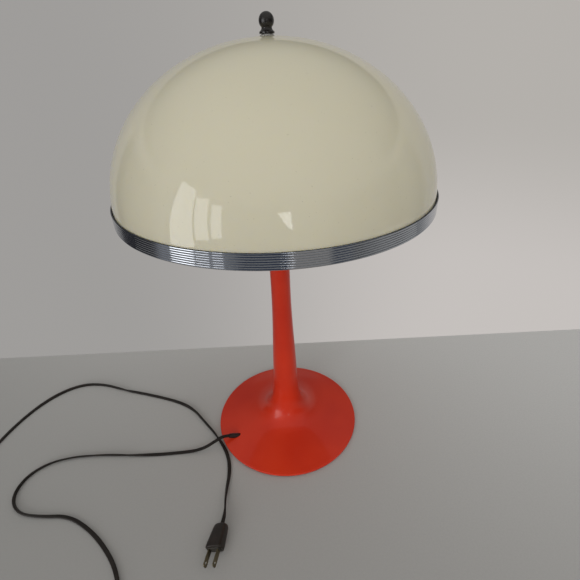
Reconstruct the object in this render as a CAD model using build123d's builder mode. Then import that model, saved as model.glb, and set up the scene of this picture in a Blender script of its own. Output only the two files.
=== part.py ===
from build123d import *
from math import atan2, cos, degrees, pi, radians, sin, tan
import os

# Mushroom table lamp: a spun tulip base and stem in one shell, a wire harp that carries an acrylic
# dome with a ribbed chrome band, a turn-knob socket with its bulb, and a flat cord with its plug.
# Millimetres, +Z up. The lamp's axis is Z, the table is at Z = 0, and the front is -Y.

# ---------------------------------------------------------------- driving dimensions
thread_gap = 0.05  # radial gap of what is threaded or pressed on the pipe
loose_gap = 0.3  # gap between curved faces that don't belong together

# Tulip base and stem, one spun shell
base_radius = 110.5
base_wall = 1.2
rim_height = 3.1  # upright edge of the base
rim_rounding = 1.1
stem_top = 345.5
stem_radius = 13.0
taper_top = 255.0  # above it the stem is plain
flare_middle = [  # radius and height above the table, from near the rim to near the plain stem
    (86.0, 9.4),
    (60.0, 14.6),
    (40.0, 22.5),
    (27.0, 37.0),
    (20.4, 62.0),
    (17.3, 118.0),
    (14.4, 188.0),
]

# Under the base
felt_thickness = 1.5
felt_inset = 2.6
ballast_radius = 72.0
ballast_top_radius = 24.0
ballast_gap = 0.45  # between the weight and the shell above it
inside_start = 0.02  # share of the flare at which its inside starts, past the rim's corner
chamber_radius = 16.0
chamber_height = 22.5
channel_width = 8.0
channel_height = 8.2

# Threaded pipe and its nuts
pipe_radius = 5.05
pipe_bore = 3.4
pipe_bottom = 16.5
washer_radius = 13.5
washer_thickness = 1.6
bottom_nut_flats = 15.0
bottom_nut_thickness = 3.5
lock_nut_flats = 13.0
lock_nut_thickness = 3.5
inner_cord_bends = [30.0, 10.0]  # where it comes down to the felt, and where it turns up the pipe
cord_past_pipe = 2.6

# Cap on the stem, saddle and harp
stem_cap_radius = 14.6
stem_cap_thickness = 3.0
spigot_depth = 6.0
saddle_thickness = 1.6
saddle_width = 12.0
saddle_half_span = 24.0  # from the axis to each upright pin
saddle_pin_radius = 1.6
saddle_pin_height = 13.0
harp_height = 178.0  # from under the saddle to the seat of the shade
harp_wire_radius = 1.9
harp_half_width = 54.0
harp_top_half_width = 16.0
harp_foot_radius = 3.0
harp_foot_length = 16.0
harp_straight = 28.0  # straight foot of each leg above the saddle
harp_spread = 34.0  # height over which each leg widens
harp_bends = [16.0, 22.0, 34.0, 12.0]  # bend radii of one leg, from its foot to the top
harp_shoulder_drop = 62.0  # from the top of the wire to where its sides start to close in
ferrule_radius = 4.3
ferrule_length = 10.0
ferrule_rounding = 0.6
ferrule_gap = 0.1  # sliding fit on the harp's feet
seat_radius = 9.5
seat_thickness = 1.2
seat_above_wire = 0.6
stud_hub_radius = 5.5
stud_hub_below_wire = 0.8
stud_radius = 3.1
stud_end_gap = 1.0  # from the stud's end to the bottom of the finial's hole

# Socket
neck_radius = 7.2
neck_height = 8.0
neck_straight = 3.0
socket_cap_radius = 18.4
socket_cap_height = 23.0
socket_metal = 0.7
cap_shoulder = 11.0  # height of the rounded shoulder
cap_shoulder_radius = 14.0
socket_shell_radius = 17.3
socket_height = 58.0  # from the foot of its cap to the top of its shell
cap_overlap = 5.5
shell_lip = 1.5
sleeve_thickness = 0.6
body_inset = 1.5  # from the shell's foot to the moulded body
socket_body_radius = 15.5
socket_body_height = 15.5
screw_shell_wall = 0.5
screw_shell_hole = 9.0  # radius of the hole in its floor
screw_shell_drop = 2.0  # from the socket's top to its edge
contact_height = 2.4
contact_radius = 3.4
contact_stem_radius = 1.2
contact_leaf = 0.6
contact_gap = 0.1  # to the bulb's tip
terminal_rise = 6.2  # from the foot of the moulded body
terminal_radius = 3.0
terminal_head = 2.0
terminal_shank_radius = 1.45
terminal_shank = 4.8
lead_radius = 0.9
lead_spacing = 2.6
lead_reach = 13.2
lead_rise = 3.0  # straight start of each lead
lead_turn_drop = 2.6  # from the moulded body down to where each lead turns up
lead_bend = 1.6
lead_end_gap = 0.2  # to the terminal screw
shaft_radius = 2.0
shaft_hole_radius = 3.2
shaft_rise = 9.3  # from the foot of the moulded body
shaft_start = 4.0  # from the lamp's axis
shaft_length = 22.0
shaft_gap = 0.1
knob_radius = 6.5
knob_length = 15.0
knob_clear = 3.0  # from the shell to the knob
knob_flutes = 12
knob_flute_radius = 1.1
knob_flute_offset = 0.5  # from the knob's edge out to each flute's middle
knob_rounding = 0.5

# Bulb
bulb_length = 104.0
bulb_radius = 30.0
bulb_tip_height = 5.2  # from the tip of the contact to the screw
bulb_screw_radius = 13.15
bulb_screw_height = 20.0
bulb_screw_chamfer = 2.0
bulb_screw_wall = 0.4
bulb_neck_radius = 13.6
bulb_neck_height = 6.0
bulb_waist_out = 7.5  # from the neck out to a point of the waist
bulb_waist_drop = 22.0  # of that point below the ball's middle
bulb_glass_wall = 0.9
bulb_contact_radius = 4.8
bulb_contact_height = 1.6
bulb_contact_rounding = 1.0
insulator_edge = 0.6

# Shade, band and finial
band_radius = 178.0
band_height = 15.0
band_wall = 1.3
band_ribs = 7
band_rib_depth = 0.6
band_lip = 3.4
band_lip_thickness = 0.8
band_gap = 0.7  # between the band and the dome inside it
dome_radius = band_radius - band_wall - band_gap
dome_wall = 3.0
dome_skirt = 7.0  # straight edge of the dome, behind the band
dome_rise = 151.6  # from the skirt to the outside of the crown
crown_flat_radius = 11.0
crown_hole_radius = 3.6
finial_washer_height = 1.4
finial_washer_radius = 6.7
finial_washer_top_radius = 5.0
finial_height = 17.7
finial_ball_radius = 7.3
finial_foot_radius = 7.3
finial_foot_edge = 1.6
finial_neck_radius = 5.0
finial_foot_height = 4.4  # of the flared foot, up to the neck
finial_bore_depth = 10.0
stud_gap = 0.1

# Cord, where it leaves the base, and plug
cord_radius = 2.6
bushing_radius = 3.6
bushing_tip_radius = 3.2
bushing_inside = 5.0
bushing_outside = 9.0
hole_inside = 11.0  # how far in the slanting hole is cut under the flare
exit_place = (-83.2, -42.2, 9.0)  # middle of the hole in the base
exit_bearing = 195.0
exit_rise = 20.0
exit_lead = 10.0  # straight start of the cord outside
plug_place = (-88.3, -175.5)  # middle of the plug's cord end, seen from above
plug_bearing = -101.7
plug_roll = 22.0  # it lies rolled over on the edge of its flat body, held level by the cord
plug_lie = 0.1  # height of its lowest edge above the table
plug_length = 29.4
plug_lead = 13.0  # straight end of the cord behind the plug
plug_rear_size = (19.3, 12.0, 5.4)  # width, thickness and corner radius
plug_rear_rounding = 2.2
plug_front_size = (24.0, 14.4, 5.8)
plug_core_size = (17.6, 9.0)
plug_core_corner = 3.0
plug_gap = 0.1  # round the core, in the body
plug_core_depth = 10.0
plug_core_proud = 1.0
blade_width = 6.35
blade_thickness = 1.5
blade_spacing = 12.7
blade_length = 18.3
blade_root = 6.0
blade_gap = 0.05
blade_hole_radius = 1.6
blade_hole_from_tip = 4.3

# ---------------------------------------------------------------- places that follow from them
rim_bottom = felt_thickness
rim_top = rim_bottom + rim_height
flare_outline = [(base_radius, rim_top), *flare_middle, (stem_radius, taper_top)]
flare_ends = [(-1.0, 0.17), (0.0, 1.0)]  # its directions at the rim and at the plain stem
saddle_bottom = stem_top + stem_cap_thickness
saddle_top = saddle_bottom + saddle_thickness
harp_seat = saddle_bottom + harp_height
lock_nut_top = saddle_top + lock_nut_thickness
pipe_top = lock_nut_top + neck_height
socket_bottom = lock_nut_top
socket_top = socket_bottom + socket_height
shell_bottom = socket_bottom + socket_cap_height - cap_overlap
body_bottom = shell_bottom + body_inset
body_top = body_bottom + socket_body_height
shaft_height = body_bottom + shaft_rise
terminal_height = body_bottom + terminal_rise
screw_shell_bore = bulb_screw_radius + loose_gap
bulb_tip = body_top + contact_height + contact_gap
dome_crown = harp_seat + loose_gap + dome_wall
skirt_top = dome_crown - dome_rise
dome_bottom = skirt_top - dome_skirt
band_bottom = dome_bottom - band_lip_thickness
finial_bottom = dome_crown + finial_washer_height

os.makedirs("parts", exist_ok=True)


def write(piece, name):
    """Names a finished piece and writes it to its own file."""
    piece.part.label = name
    export_step(piece.part, f"parts/{name}.step")


# The flare's outside, and points at a depth under it, for the shell's inside and the weight.
with BuildLine() as flare:
    Spline(*flare_outline, tangents=flare_ends)


def flare_inset(depth, first=0.0, last=1.0, count=26):
    """Points at this depth under the flare's outside."""
    curve = flare.edges()[0]
    places = [first + (last - first) * i / (count - 1) for i in range(count)]
    points = []
    for place in places:
        along = curve % place
        inward = Vector(-along.Y, along.X).normalized()
        points.append(curve @ place + inward * depth)
    return [(point.X, point.Y) for point in points]


# ---------------------------------------------------------------- base and what is in it
# Exit of the cord: the plane looks out along the cord, through the middle of the hole.
exit_direction = Vector(
    cos(radians(exit_bearing)) * cos(radians(exit_rise)),
    sin(radians(exit_bearing)) * cos(radians(exit_rise)),
    sin(radians(exit_rise)),
)
exit_middle = Vector(*exit_place)
exit_mouth = exit_middle + exit_direction * bushing_outside
exit_inside = exit_middle - exit_direction * bushing_inside
inner_lie = felt_thickness + cord_radius
exit_foot = exit_middle - exit_direction * ((exit_place[2] - inner_lie) / exit_direction.Z)
channel_bearing = degrees(atan2(exit_foot.Y, exit_foot.X))

# Base and stem: one spun shell with an upright rim and a hole for the cord.
with BuildPart() as tulip_base:
    with BuildSketch(Plane.XZ):
        with BuildLine():
            Spline(*flare_outline, tangents=flare_ends)
            rim = Polyline(
                (base_radius, rim_top),
                (base_radius, rim_bottom),
                (base_radius - base_wall, rim_bottom),
                (base_radius - base_wall, rim_top - base_wall),
            )
            under = flare_inset(base_wall, first=inside_start)
            Line(rim @ 1, under[0])
            Spline(*under)
            Polyline(
                under[-1],
                (stem_radius - base_wall, stem_top),
                (stem_radius, stem_top),
                (stem_radius, taper_top),
            )
        make_face()
        rim_corner = vertices().sort_by_distance((base_radius, 0, rim_top))[0]
        fillet(rim_corner, rim_rounding)
    revolve(axis=Axis.Z)
    with BuildSketch(Plane(exit_middle, z_dir=exit_direction)):
        Circle(bushing_radius + thread_gap)
    extrude(amount=bushing_outside, mode=Mode.SUBTRACT)
    with BuildSketch(Plane(exit_middle, z_dir=exit_direction)):
        Circle(bushing_radius + thread_gap)
    extrude(amount=-hole_inside, mode=Mode.SUBTRACT)
write(tulip_base, "tulip_base")

# Felt pad under the whole base.
with BuildPart() as base_felt:
    with BuildSketch():
        Circle(base_radius - felt_inset)
    extrude(amount=felt_thickness)
write(base_felt, "base_felt")

# Cast weight under the flare, with a chamber for the nut and a channel for the cord.
with BuildPart() as ballast_weight:
    with BuildSketch(Plane.XZ):
        with BuildLine():
            ceiling = [
                point
                for point in flare_inset(base_wall + ballast_gap, count=60)
                if ballast_top_radius < point[0] < ballast_radius
            ]
            Spline(*ceiling)
            Polyline(
                ceiling[-1],
                (pipe_radius + thread_gap, ceiling[-1][1]),
                (pipe_radius + thread_gap, chamber_height),
                (chamber_radius, chamber_height),
                (chamber_radius, felt_thickness),
                (ceiling[0][0], felt_thickness),
                ceiling[0],
            )
        make_face()
    revolve(axis=Axis.Z)
    with BuildSketch(Plane.XY.offset(felt_thickness).rotated((0, 0, channel_bearing))):
        with Locations((ballast_radius / 2 + chamber_radius / 2, 0)):
            Rectangle(ballast_radius, channel_width)
    extrude(amount=channel_height - felt_thickness, mode=Mode.SUBTRACT)
write(ballast_weight, "ballast_weight")

# Washer and nut that pull the weight up against the flare.
with BuildPart() as bottom_washer:
    with BuildSketch(Plane.XY.offset(chamber_height - washer_thickness)):
        Circle(washer_radius)
        Circle(pipe_radius + thread_gap, mode=Mode.SUBTRACT)
    extrude(amount=washer_thickness)
write(bottom_washer, "bottom_washer")

bottom_nut_top = chamber_height - washer_thickness
with BuildPart() as bottom_nut:
    with BuildSketch(Plane.XY.offset(bottom_nut_top - bottom_nut_thickness)):
        RegularPolygon(bottom_nut_flats / 2, 6, major_radius=False)
        Circle(pipe_radius + thread_gap, mode=Mode.SUBTRACT)
    extrude(amount=bottom_nut_thickness)
write(bottom_nut, "bottom_nut")

# Threaded pipe from the weight to the socket.
with BuildPart() as lamp_pipe:
    with BuildSketch(Plane.XY.offset(pipe_bottom)):
        Circle(pipe_radius)
        Circle(pipe_bore, mode=Mode.SUBTRACT)
    extrude(amount=pipe_top - pipe_bottom)
write(lamp_pipe, "lamp_pipe")

# Rubber bushing round the cord in the hole of the base, a little tapered outside.
with BuildPart() as cord_bushing:
    with BuildSketch(Plane(exit_inside, z_dir=exit_direction)):
        Circle(bushing_radius)
    extrude(amount=bushing_inside + bushing_outside / 2)
    with BuildSketch(Plane(exit_middle + exit_direction * (bushing_outside / 2), z_dir=exit_direction)):
        Circle(bushing_radius)
    with BuildSketch(Plane(exit_mouth, z_dir=exit_direction)):
        Circle(bushing_tip_radius)
    loft()
    with BuildSketch(Plane(exit_inside, z_dir=exit_direction)):
        Circle(cord_radius + thread_gap)
    extrude(amount=bushing_inside + bushing_outside, mode=Mode.SUBTRACT)
write(cord_bushing, "cord_bushing")

# Cord inside: from the hole along the felt to the middle, then up the pipe into the socket.
inner_cord_top = pipe_top + cord_past_pipe
inner_route = [exit_mouth, exit_foot, Vector(0, 0, inner_lie), Vector(0, 0, inner_cord_top)]
with BuildPart() as inner_cord:
    with BuildLine() as inner_path:
        FilletPolyline(*inner_route, radius=inner_cord_bends)
    with BuildSketch(Plane(exit_mouth, z_dir=inner_path.wires()[0] % 0)):
        Circle(cord_radius)
    sweep()
write(inner_cord, "inner_cord")

# ---------------------------------------------------------------- top of the stem and harp
# Turned cap that closes the stem and centres the pipe.
with BuildPart() as stem_cap:
    with BuildSketch(Plane.XZ):
        with BuildLine():
            Polyline(
                (pipe_radius + thread_gap, stem_top - spigot_depth),
                (stem_radius - base_wall - loose_gap, stem_top - spigot_depth),
                (stem_radius - base_wall - loose_gap, stem_top),
                (stem_cap_radius, stem_top),
                (stem_cap_radius, saddle_bottom - stem_cap_thickness / 2),
                (stem_cap_radius - stem_cap_thickness / 2, saddle_bottom),
                (pipe_radius + thread_gap, saddle_bottom),
                close=True,
            )
        make_face()
    revolve(axis=Axis.Z)
write(stem_cap, "stem_cap")

# Saddle: a flat strip with an upright pin at each end, which the harp's feet slip over.
with BuildPart() as harp_saddle:
    with BuildSketch(Plane.XY.offset(saddle_bottom)):
        SlotCenterToCenter(2 * saddle_half_span, saddle_width)
        Circle(pipe_radius + thread_gap, mode=Mode.SUBTRACT)
    extrude(amount=saddle_thickness)
    with BuildSketch(Plane.XY.offset(saddle_top)):
        with Locations((-saddle_half_span, 0), (saddle_half_span, 0)):
            Circle(saddle_pin_radius)
    extrude(amount=saddle_pin_height)
write(harp_saddle, "harp_saddle")

with BuildPart() as lock_nut:
    with BuildSketch(Plane.XY.offset(saddle_top)):
        RegularPolygon(lock_nut_flats / 2, 6, major_radius=False)
        Circle(pipe_radius + thread_gap, mode=Mode.SUBTRACT)
    extrude(amount=lock_nut_thickness)
write(lock_nut, "lock_nut")

# Harp: one bent wire with a thicker hollow foot at each end.
foot_top = saddle_top + harp_foot_length
wire_top = harp_seat - seat_thickness - seat_above_wire - harp_wire_radius
shoulder = wire_top - harp_shoulder_drop
right_leg = [
    (saddle_half_span, 0, foot_top),
    (saddle_half_span, 0, saddle_top + harp_straight),
    (harp_half_width, 0, saddle_top + harp_straight + harp_spread),
    (harp_half_width, 0, shoulder),
    (harp_top_half_width, 0, wire_top),
]
harp_route = right_leg + [(-x, y, z) for x, y, z in reversed(right_leg)]
with BuildPart() as harp_loop:
    with BuildLine():
        FilletPolyline(*harp_route, radius=harp_bends + harp_bends[::-1])
    with BuildSketch(Plane.XY.offset(foot_top)):
        with Locations((saddle_half_span, 0)):
            Circle(harp_wire_radius)
    sweep()
    with BuildSketch(Plane.XY.offset(saddle_top)):
        with Locations((-saddle_half_span, 0), (saddle_half_span, 0)):
            Circle(harp_foot_radius)
    extrude(amount=harp_foot_length)
    with BuildSketch(Plane.XY.offset(saddle_top)):
        with Locations((-saddle_half_span, 0), (saddle_half_span, 0)):
            Circle(saddle_pin_radius + thread_gap)
    extrude(amount=saddle_pin_height + loose_gap, mode=Mode.SUBTRACT)
write(harp_loop, "harp_loop")

# Ferrules that lock the feet on the pins. They slide up the straight feet of the harp.
for side, name in ((-1, "harp_ferrule_left"), (1, "harp_ferrule_right")):
    with BuildPart() as ferrule:
        with BuildSketch(Plane.XY.offset(saddle_top)):
            with Locations((side * saddle_half_span, 0)):
                Circle(ferrule_radius)
                Circle(harp_foot_radius + ferrule_gap, mode=Mode.SUBTRACT)
        extrude(amount=ferrule_length)
        fillet(ferrule.edges().group_by(Axis.Z)[-1].sort_by(SortBy.RADIUS)[-1], ferrule_rounding)
    write(ferrule, name)

# Seat and threaded stud on top of the harp, with a hub that grips the wire.
hub_bottom = wire_top - harp_wire_radius - stud_hub_below_wire
hub_top = harp_seat - seat_thickness
with BuildPart() as harp_stud:
    with BuildSketch(Plane.XY.offset(hub_bottom)):
        Circle(stud_hub_radius)
    extrude(amount=hub_top - hub_bottom)
    with BuildSketch(Plane.XY.offset(hub_top)):
        Circle(seat_radius)
    extrude(amount=seat_thickness)
    with BuildSketch(Plane.XY.offset(harp_seat)):
        Circle(stud_radius)
    extrude(amount=finial_bottom + finial_bore_depth - stud_end_gap - harp_seat)
    with BuildSketch(Plane.YZ.offset(-stud_hub_radius)):
        with Locations((0, wire_top)):
            Circle(harp_wire_radius + thread_gap)
    extrude(amount=2 * stud_hub_radius, mode=Mode.SUBTRACT)
write(harp_stud, "harp_stud")

# ---------------------------------------------------------------- socket
# Spun cap, screwed on the pipe by its neck.
with BuildPart() as socket_cap:
    with BuildSketch(Plane.XZ):
        with BuildLine():
            cup_bottom = (neck_radius, socket_bottom + neck_straight)
            shoulder_top = (socket_cap_radius, cup_bottom[1] + cap_shoulder)
            cup_top = socket_bottom + socket_cap_height
            cup_bore = socket_cap_radius - socket_metal
            inner_shoulder = (cup_bore, shoulder_top[1] + socket_metal)
            inner_bottom = (neck_radius, cup_bottom[1] + 1.5 * socket_metal)
            Polyline(
                (pipe_radius + thread_gap, pipe_top),
                (pipe_radius + thread_gap, socket_bottom),
                (neck_radius, socket_bottom),
                cup_bottom,
            )
            RadiusArc(cup_bottom, shoulder_top, -cap_shoulder_radius)
            Polyline(shoulder_top, (socket_cap_radius, cup_top), (cup_bore, cup_top), inner_shoulder)
            RadiusArc(inner_shoulder, inner_bottom, cap_shoulder_radius)
            Polyline(inner_bottom, (neck_radius, pipe_top), (pipe_radius + thread_gap, pipe_top))
        make_face()
    revolve(axis=Axis.Z)
write(socket_cap, "socket_cap")

# Brass shell, pressed into the cap, with its top edge turned in and a hole for the switch.
with BuildPart() as socket_shell:
    with BuildSketch(Plane.XZ):
        with BuildLine():
            shell_bore = socket_shell_radius - socket_metal
            Polyline(
                (shell_bore, shell_bottom),
                (socket_shell_radius, shell_bottom),
                (socket_shell_radius, socket_top),
                (shell_bore - shell_lip, socket_top),
                (shell_bore - shell_lip, socket_top - socket_metal),
                (shell_bore, socket_top - socket_metal),
                close=True,
            )
        make_face()
    revolve(axis=Axis.Z)
    with BuildSketch(Plane.XZ):
        with Locations((0, shaft_height)):
            Circle(shaft_hole_radius)
    extrude(amount=2 * socket_shell_radius, mode=Mode.SUBTRACT)
write(socket_shell, "socket_shell")

# Card sleeve between the shell and the live parts.
sleeve_radius = socket_shell_radius - socket_metal - loose_gap
with BuildPart() as socket_sleeve:
    with BuildSketch(Plane.XY.offset(body_bottom)):
        Circle(sleeve_radius)
        Circle(sleeve_radius - sleeve_thickness, mode=Mode.SUBTRACT)
    extrude(amount=socket_top - socket_metal - loose_gap - body_bottom)
    with BuildSketch(Plane.XZ):
        with Locations((0, shaft_height)):
            Circle(shaft_hole_radius)
    extrude(amount=2 * socket_shell_radius, mode=Mode.SUBTRACT)
write(socket_sleeve, "socket_sleeve")

# Moulded body with the switch, two terminal pockets and the grooves of the leads.
pocket_floor = lead_reach - lead_radius - 2 * loose_gap
with BuildPart() as socket_body:
    with BuildSketch(Plane.XY.offset(body_bottom)):
        Circle(socket_body_radius)
    extrude(amount=socket_body_height)
    with BuildSketch(Plane.XZ):
        with Locations((0, shaft_height)):
            Circle(shaft_radius + shaft_gap)
    extrude(amount=socket_shell_radius, mode=Mode.SUBTRACT)
    for side in (-1, 1):
        with BuildSketch(Plane(origin=(side * pocket_floor, 0, 0), x_dir=(0, 1, 0), z_dir=(side, 0, 0))):
            with Locations((0, side * terminal_height)):
                Circle(terminal_radius + loose_gap)
        extrude(amount=socket_body_radius, mode=Mode.SUBTRACT)
        with BuildSketch(Plane(origin=(side * pocket_floor, 0, 0), x_dir=(0, 1, 0), z_dir=(side, 0, 0))):
            with Locations((0, side * terminal_height)):
                Circle(terminal_shank_radius + thread_gap)
        extrude(amount=-terminal_shank - loose_gap, mode=Mode.SUBTRACT)
    with BuildSketch(Plane.XY.offset(body_bottom)):
        with Locations((-lead_reach, 0), (lead_reach, 0)):
            Circle(lead_radius + loose_gap)
    extrude(amount=terminal_height - body_bottom, mode=Mode.SUBTRACT)
write(socket_body, "socket_body")

# Threaded shell that the bulb screws into.
with BuildPart() as screw_shell:
    with BuildSketch(Plane.XZ):
        with BuildLine():
            Polyline(
                (screw_shell_hole, body_top),
                (screw_shell_bore + screw_shell_wall, body_top),
                (screw_shell_bore + screw_shell_wall, socket_top - screw_shell_drop),
                (screw_shell_bore, socket_top - screw_shell_drop),
                (screw_shell_bore, body_top + screw_shell_wall),
                (screw_shell_hole, body_top + screw_shell_wall),
                close=True,
            )
        make_face()
    revolve(axis=Axis.Z)
write(screw_shell, "screw_shell")

# Centre contact under the bulb's tip.
with BuildPart() as centre_contact:
    with BuildSketch(Plane.XY.offset(body_top)):
        Circle(contact_stem_radius)
    extrude(amount=contact_height)
    with BuildSketch(Plane.XY.offset(body_top + contact_height - contact_leaf)):
        Circle(contact_radius)
    extrude(amount=contact_leaf)
write(centre_contact, "centre_contact")

# Two terminal screws in their pockets.
with BuildPart() as terminal_screws:
    for side in (-1, 1):
        with BuildSketch(Plane(origin=(side * pocket_floor, 0, 0), x_dir=(0, 1, 0), z_dir=(side, 0, 0))):
            with Locations((0, side * terminal_height)):
                Circle(terminal_radius)
        extrude(amount=terminal_head)
        with BuildSketch(Plane(origin=(side * pocket_floor, 0, 0), x_dir=(0, 1, 0), z_dir=(side, 0, 0))):
            with Locations((0, side * terminal_height)):
                Circle(terminal_shank_radius)
        extrude(amount=-terminal_shank)
write(terminal_screws, "terminal_screws")

# Two leads from the cord's end to the terminal screws.
with BuildPart() as socket_leads:
    for side in (-1, 1):
        start = side * lead_spacing / 2
        end = side * lead_reach
        with BuildLine() as lead_path:
            FilletPolyline(
                (start, 0, inner_cord_top),
                (start, 0, inner_cord_top + lead_rise),
                (end, 0, body_bottom - lead_turn_drop),
                (end, 0, terminal_height - terminal_radius - lead_end_gap),
                radius=[lead_bend, lead_bend],
            )
        with BuildSketch(Plane.XY.offset(inner_cord_top)):
            with Locations((start, 0)):
                Circle(lead_radius)
        sweep(path=lead_path.wires()[0])
write(socket_leads, "socket_leads")

# Switch shaft and its fluted knob, which point to the front.
with BuildPart() as switch_shaft:
    with BuildSketch(Plane.XZ.offset(shaft_start)):
        with Locations((0, shaft_height)):
            Circle(shaft_radius)
    extrude(amount=shaft_length)
write(switch_shaft, "switch_shaft")

knob_start = socket_shell_radius + knob_clear
with BuildPart() as switch_knob:
    with BuildSketch(Plane.XZ.offset(knob_start)):
        with Locations((0, shaft_height)):
            Circle(knob_radius)
            with PolarLocations(knob_radius + knob_flute_offset, knob_flutes):
                Circle(knob_flute_radius, mode=Mode.SUBTRACT)
    extrude(amount=knob_length)
    fillet(switch_knob.faces().sort_by(Axis.Y)[0].edges(), knob_rounding)
    with BuildSketch(Plane.XZ.offset(knob_start)):
        with Locations((0, shaft_height)):
            Circle(shaft_radius)
    extrude(amount=shaft_start + shaft_length - knob_start, mode=Mode.SUBTRACT)
write(switch_knob, "switch_knob")

# ---------------------------------------------------------------- bulb
bulb_screw_bottom = bulb_tip + bulb_tip_height
bulb_screw_top = bulb_screw_bottom + bulb_screw_height
bulb_top = bulb_tip + bulb_length
bulb_middle = bulb_top - bulb_radius

with BuildPart() as bulb_contact:
    with BuildSketch(Plane.XY.offset(bulb_tip)):
        Circle(bulb_contact_radius)
    extrude(amount=bulb_contact_height)
    fillet(bulb_contact.edges().group_by(Axis.Z)[0], bulb_contact_rounding)
write(bulb_contact, "bulb_contact")

with BuildPart() as bulb_insulator:
    with BuildSketch(Plane.XZ):
        with BuildLine():
            Polyline(
                (0, bulb_tip + bulb_contact_height),
                (bulb_contact_radius + insulator_edge, bulb_tip + bulb_contact_height),
                (bulb_screw_radius - bulb_screw_chamfer, bulb_screw_bottom),
                (0, bulb_screw_bottom),
                close=True,
            )
        make_face()
    revolve(axis=Axis.Z)
write(bulb_insulator, "bulb_insulator")

with BuildPart() as bulb_screw_base:
    with BuildSketch(Plane.XZ):
        with BuildLine():
            screw_bore = bulb_screw_radius - bulb_screw_wall
            Polyline(
                (0, bulb_screw_bottom),
                (bulb_screw_radius - bulb_screw_chamfer, bulb_screw_bottom),
                (bulb_screw_radius, bulb_screw_bottom + bulb_screw_chamfer),
                (bulb_screw_radius, bulb_screw_top),
                (screw_bore, bulb_screw_top),
                (screw_bore, bulb_screw_bottom + bulb_screw_chamfer + bulb_screw_wall / 2),
                (screw_bore - bulb_screw_chamfer + bulb_screw_wall / 2, bulb_screw_bottom + bulb_screw_wall),
                (0, bulb_screw_bottom + bulb_screw_wall),
                close=True,
            )
        make_face()
    revolve(axis=Axis.Z)
write(bulb_screw_base, "bulb_screw_base")


def bulb_outline(depth):
    """Outside of the glass, or its inside at this depth, from the neck to the crown."""
    neck = bulb_neck_radius - depth
    ball = bulb_radius - depth
    return [
        (neck, bulb_screw_top),
        (neck, bulb_screw_top + bulb_neck_height),
        (neck + bulb_waist_out, bulb_middle - bulb_waist_drop),
        (ball, bulb_middle),
        (0, bulb_middle + ball),
    ]


# Glass envelope: a round end on a drawn-in neck, open where the screw base is cemented on.
with BuildPart() as bulb_glass:
    with BuildSketch(Plane.XZ):
        with BuildLine():
            for depth in (0, bulb_glass_wall):
                neck, neck_top, waist, side, crown = bulb_outline(depth)
                Line(neck, neck_top)
                Spline(neck_top, waist, side, tangents=[(0, 1), (0, 1)])
                RadiusArc(side, crown, -(bulb_radius - depth))
            Line((bulb_neck_radius, bulb_screw_top), (bulb_neck_radius - bulb_glass_wall, bulb_screw_top))
            Line((0, bulb_top), (0, bulb_top - bulb_glass_wall))
        make_face()
    revolve(axis=Axis.Z)
write(bulb_glass, "bulb_glass")

# ---------------------------------------------------------------- shade
# Dome: an elliptical acrylic shell with a straight skirt, and a flat patch inside its crown.
with BuildPart() as shade_dome:
    with BuildSketch(Plane.XZ):
        with BuildLine():
            top_side = EllipticalCenterArc((0, skirt_top), dome_radius, dome_rise, arc_size=90)
            under_side = EllipticalCenterArc(
                (0, skirt_top), dome_radius - dome_wall, dome_rise - dome_wall, arc_size=90
            )
            Polyline(
                top_side @ 0,
                (dome_radius, dome_bottom),
                (dome_radius - dome_wall, dome_bottom),
                under_side @ 0,
            )
            Line(under_side @ 1, top_side @ 1)
        make_face()
        with Locations((crown_flat_radius / 2, harp_seat + dome_wall / 2)):
            Rectangle(crown_flat_radius, dome_wall)
    revolve(axis=Axis.Z)
    with Locations((0, 0, dome_crown)):
        Hole(crown_hole_radius)
write(shade_dome, "shade_dome")

# Chrome band round the rim, with fine ribs all round and a lip under the dome's edge.
rib_pitch = band_height / band_ribs
with BuildPart() as shade_band:
    with BuildSketch(Plane.XZ):
        with BuildLine():
            band_top = band_bottom + band_height
            groove = band_radius - band_rib_depth
            Polyline(
                (groove, band_top),
                (band_radius - band_wall, band_top),
                (band_radius - band_wall, dome_bottom),
                (dome_radius - band_lip, dome_bottom),
                (dome_radius - band_lip, band_bottom),
                (groove, band_bottom),
            )
            for rib in range(band_ribs):
                low = band_bottom + rib * rib_pitch
                ThreePointArc((groove, low), (band_radius, low + rib_pitch / 2), (groove, low + rib_pitch))
        make_face()
    revolve(axis=Axis.Z)
write(shade_band, "shade_band")

# Conical washer under the finial.
with BuildPart() as finial_washer:
    with BuildSketch(Plane.XZ):
        with BuildLine():
            Polyline(
                (stud_radius + stud_gap, dome_crown),
                (finial_washer_radius, dome_crown),
                (finial_washer_top_radius, finial_bottom),
                (stud_radius + stud_gap, finial_bottom),
                close=True,
            )
        make_face()
    revolve(axis=Axis.Z)
write(finial_washer, "finial_washer")

# Finial: a flared foot, a neck and a ball, with a threaded hole for the stud.
ball_middle = finial_bottom + finial_height - finial_ball_radius
with BuildPart() as finial:
    with BuildSketch(Plane.XZ):
        with BuildLine():
            foot_edge = (finial_foot_radius, finial_bottom + finial_foot_edge)
            neck_start = (finial_neck_radius, finial_bottom + finial_foot_height)
            ball_drop = (finial_ball_radius**2 - finial_neck_radius**2) ** 0.5
            ball_start = (finial_neck_radius, ball_middle - ball_drop)
            ball_side = (finial_ball_radius, ball_middle)
            finial_top = (0, ball_middle + finial_ball_radius)
            Polyline((0, finial_bottom), (finial_foot_radius, finial_bottom), foot_edge)
            Spline(foot_edge, neck_start, tangents=[(-1, 0.15), (0, 1)])
            Line(neck_start, ball_start)
            ThreePointArc(ball_start, ball_side, finial_top)
            Line(finial_top, (0, finial_bottom))
        make_face()
    revolve(axis=Axis.Z)
    with BuildSketch(Plane.XY.offset(finial_bottom)):
        Circle(stud_radius + stud_gap)
    extrude(amount=finial_bore_depth, mode=Mode.SUBTRACT)
write(finial, "finial")


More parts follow.
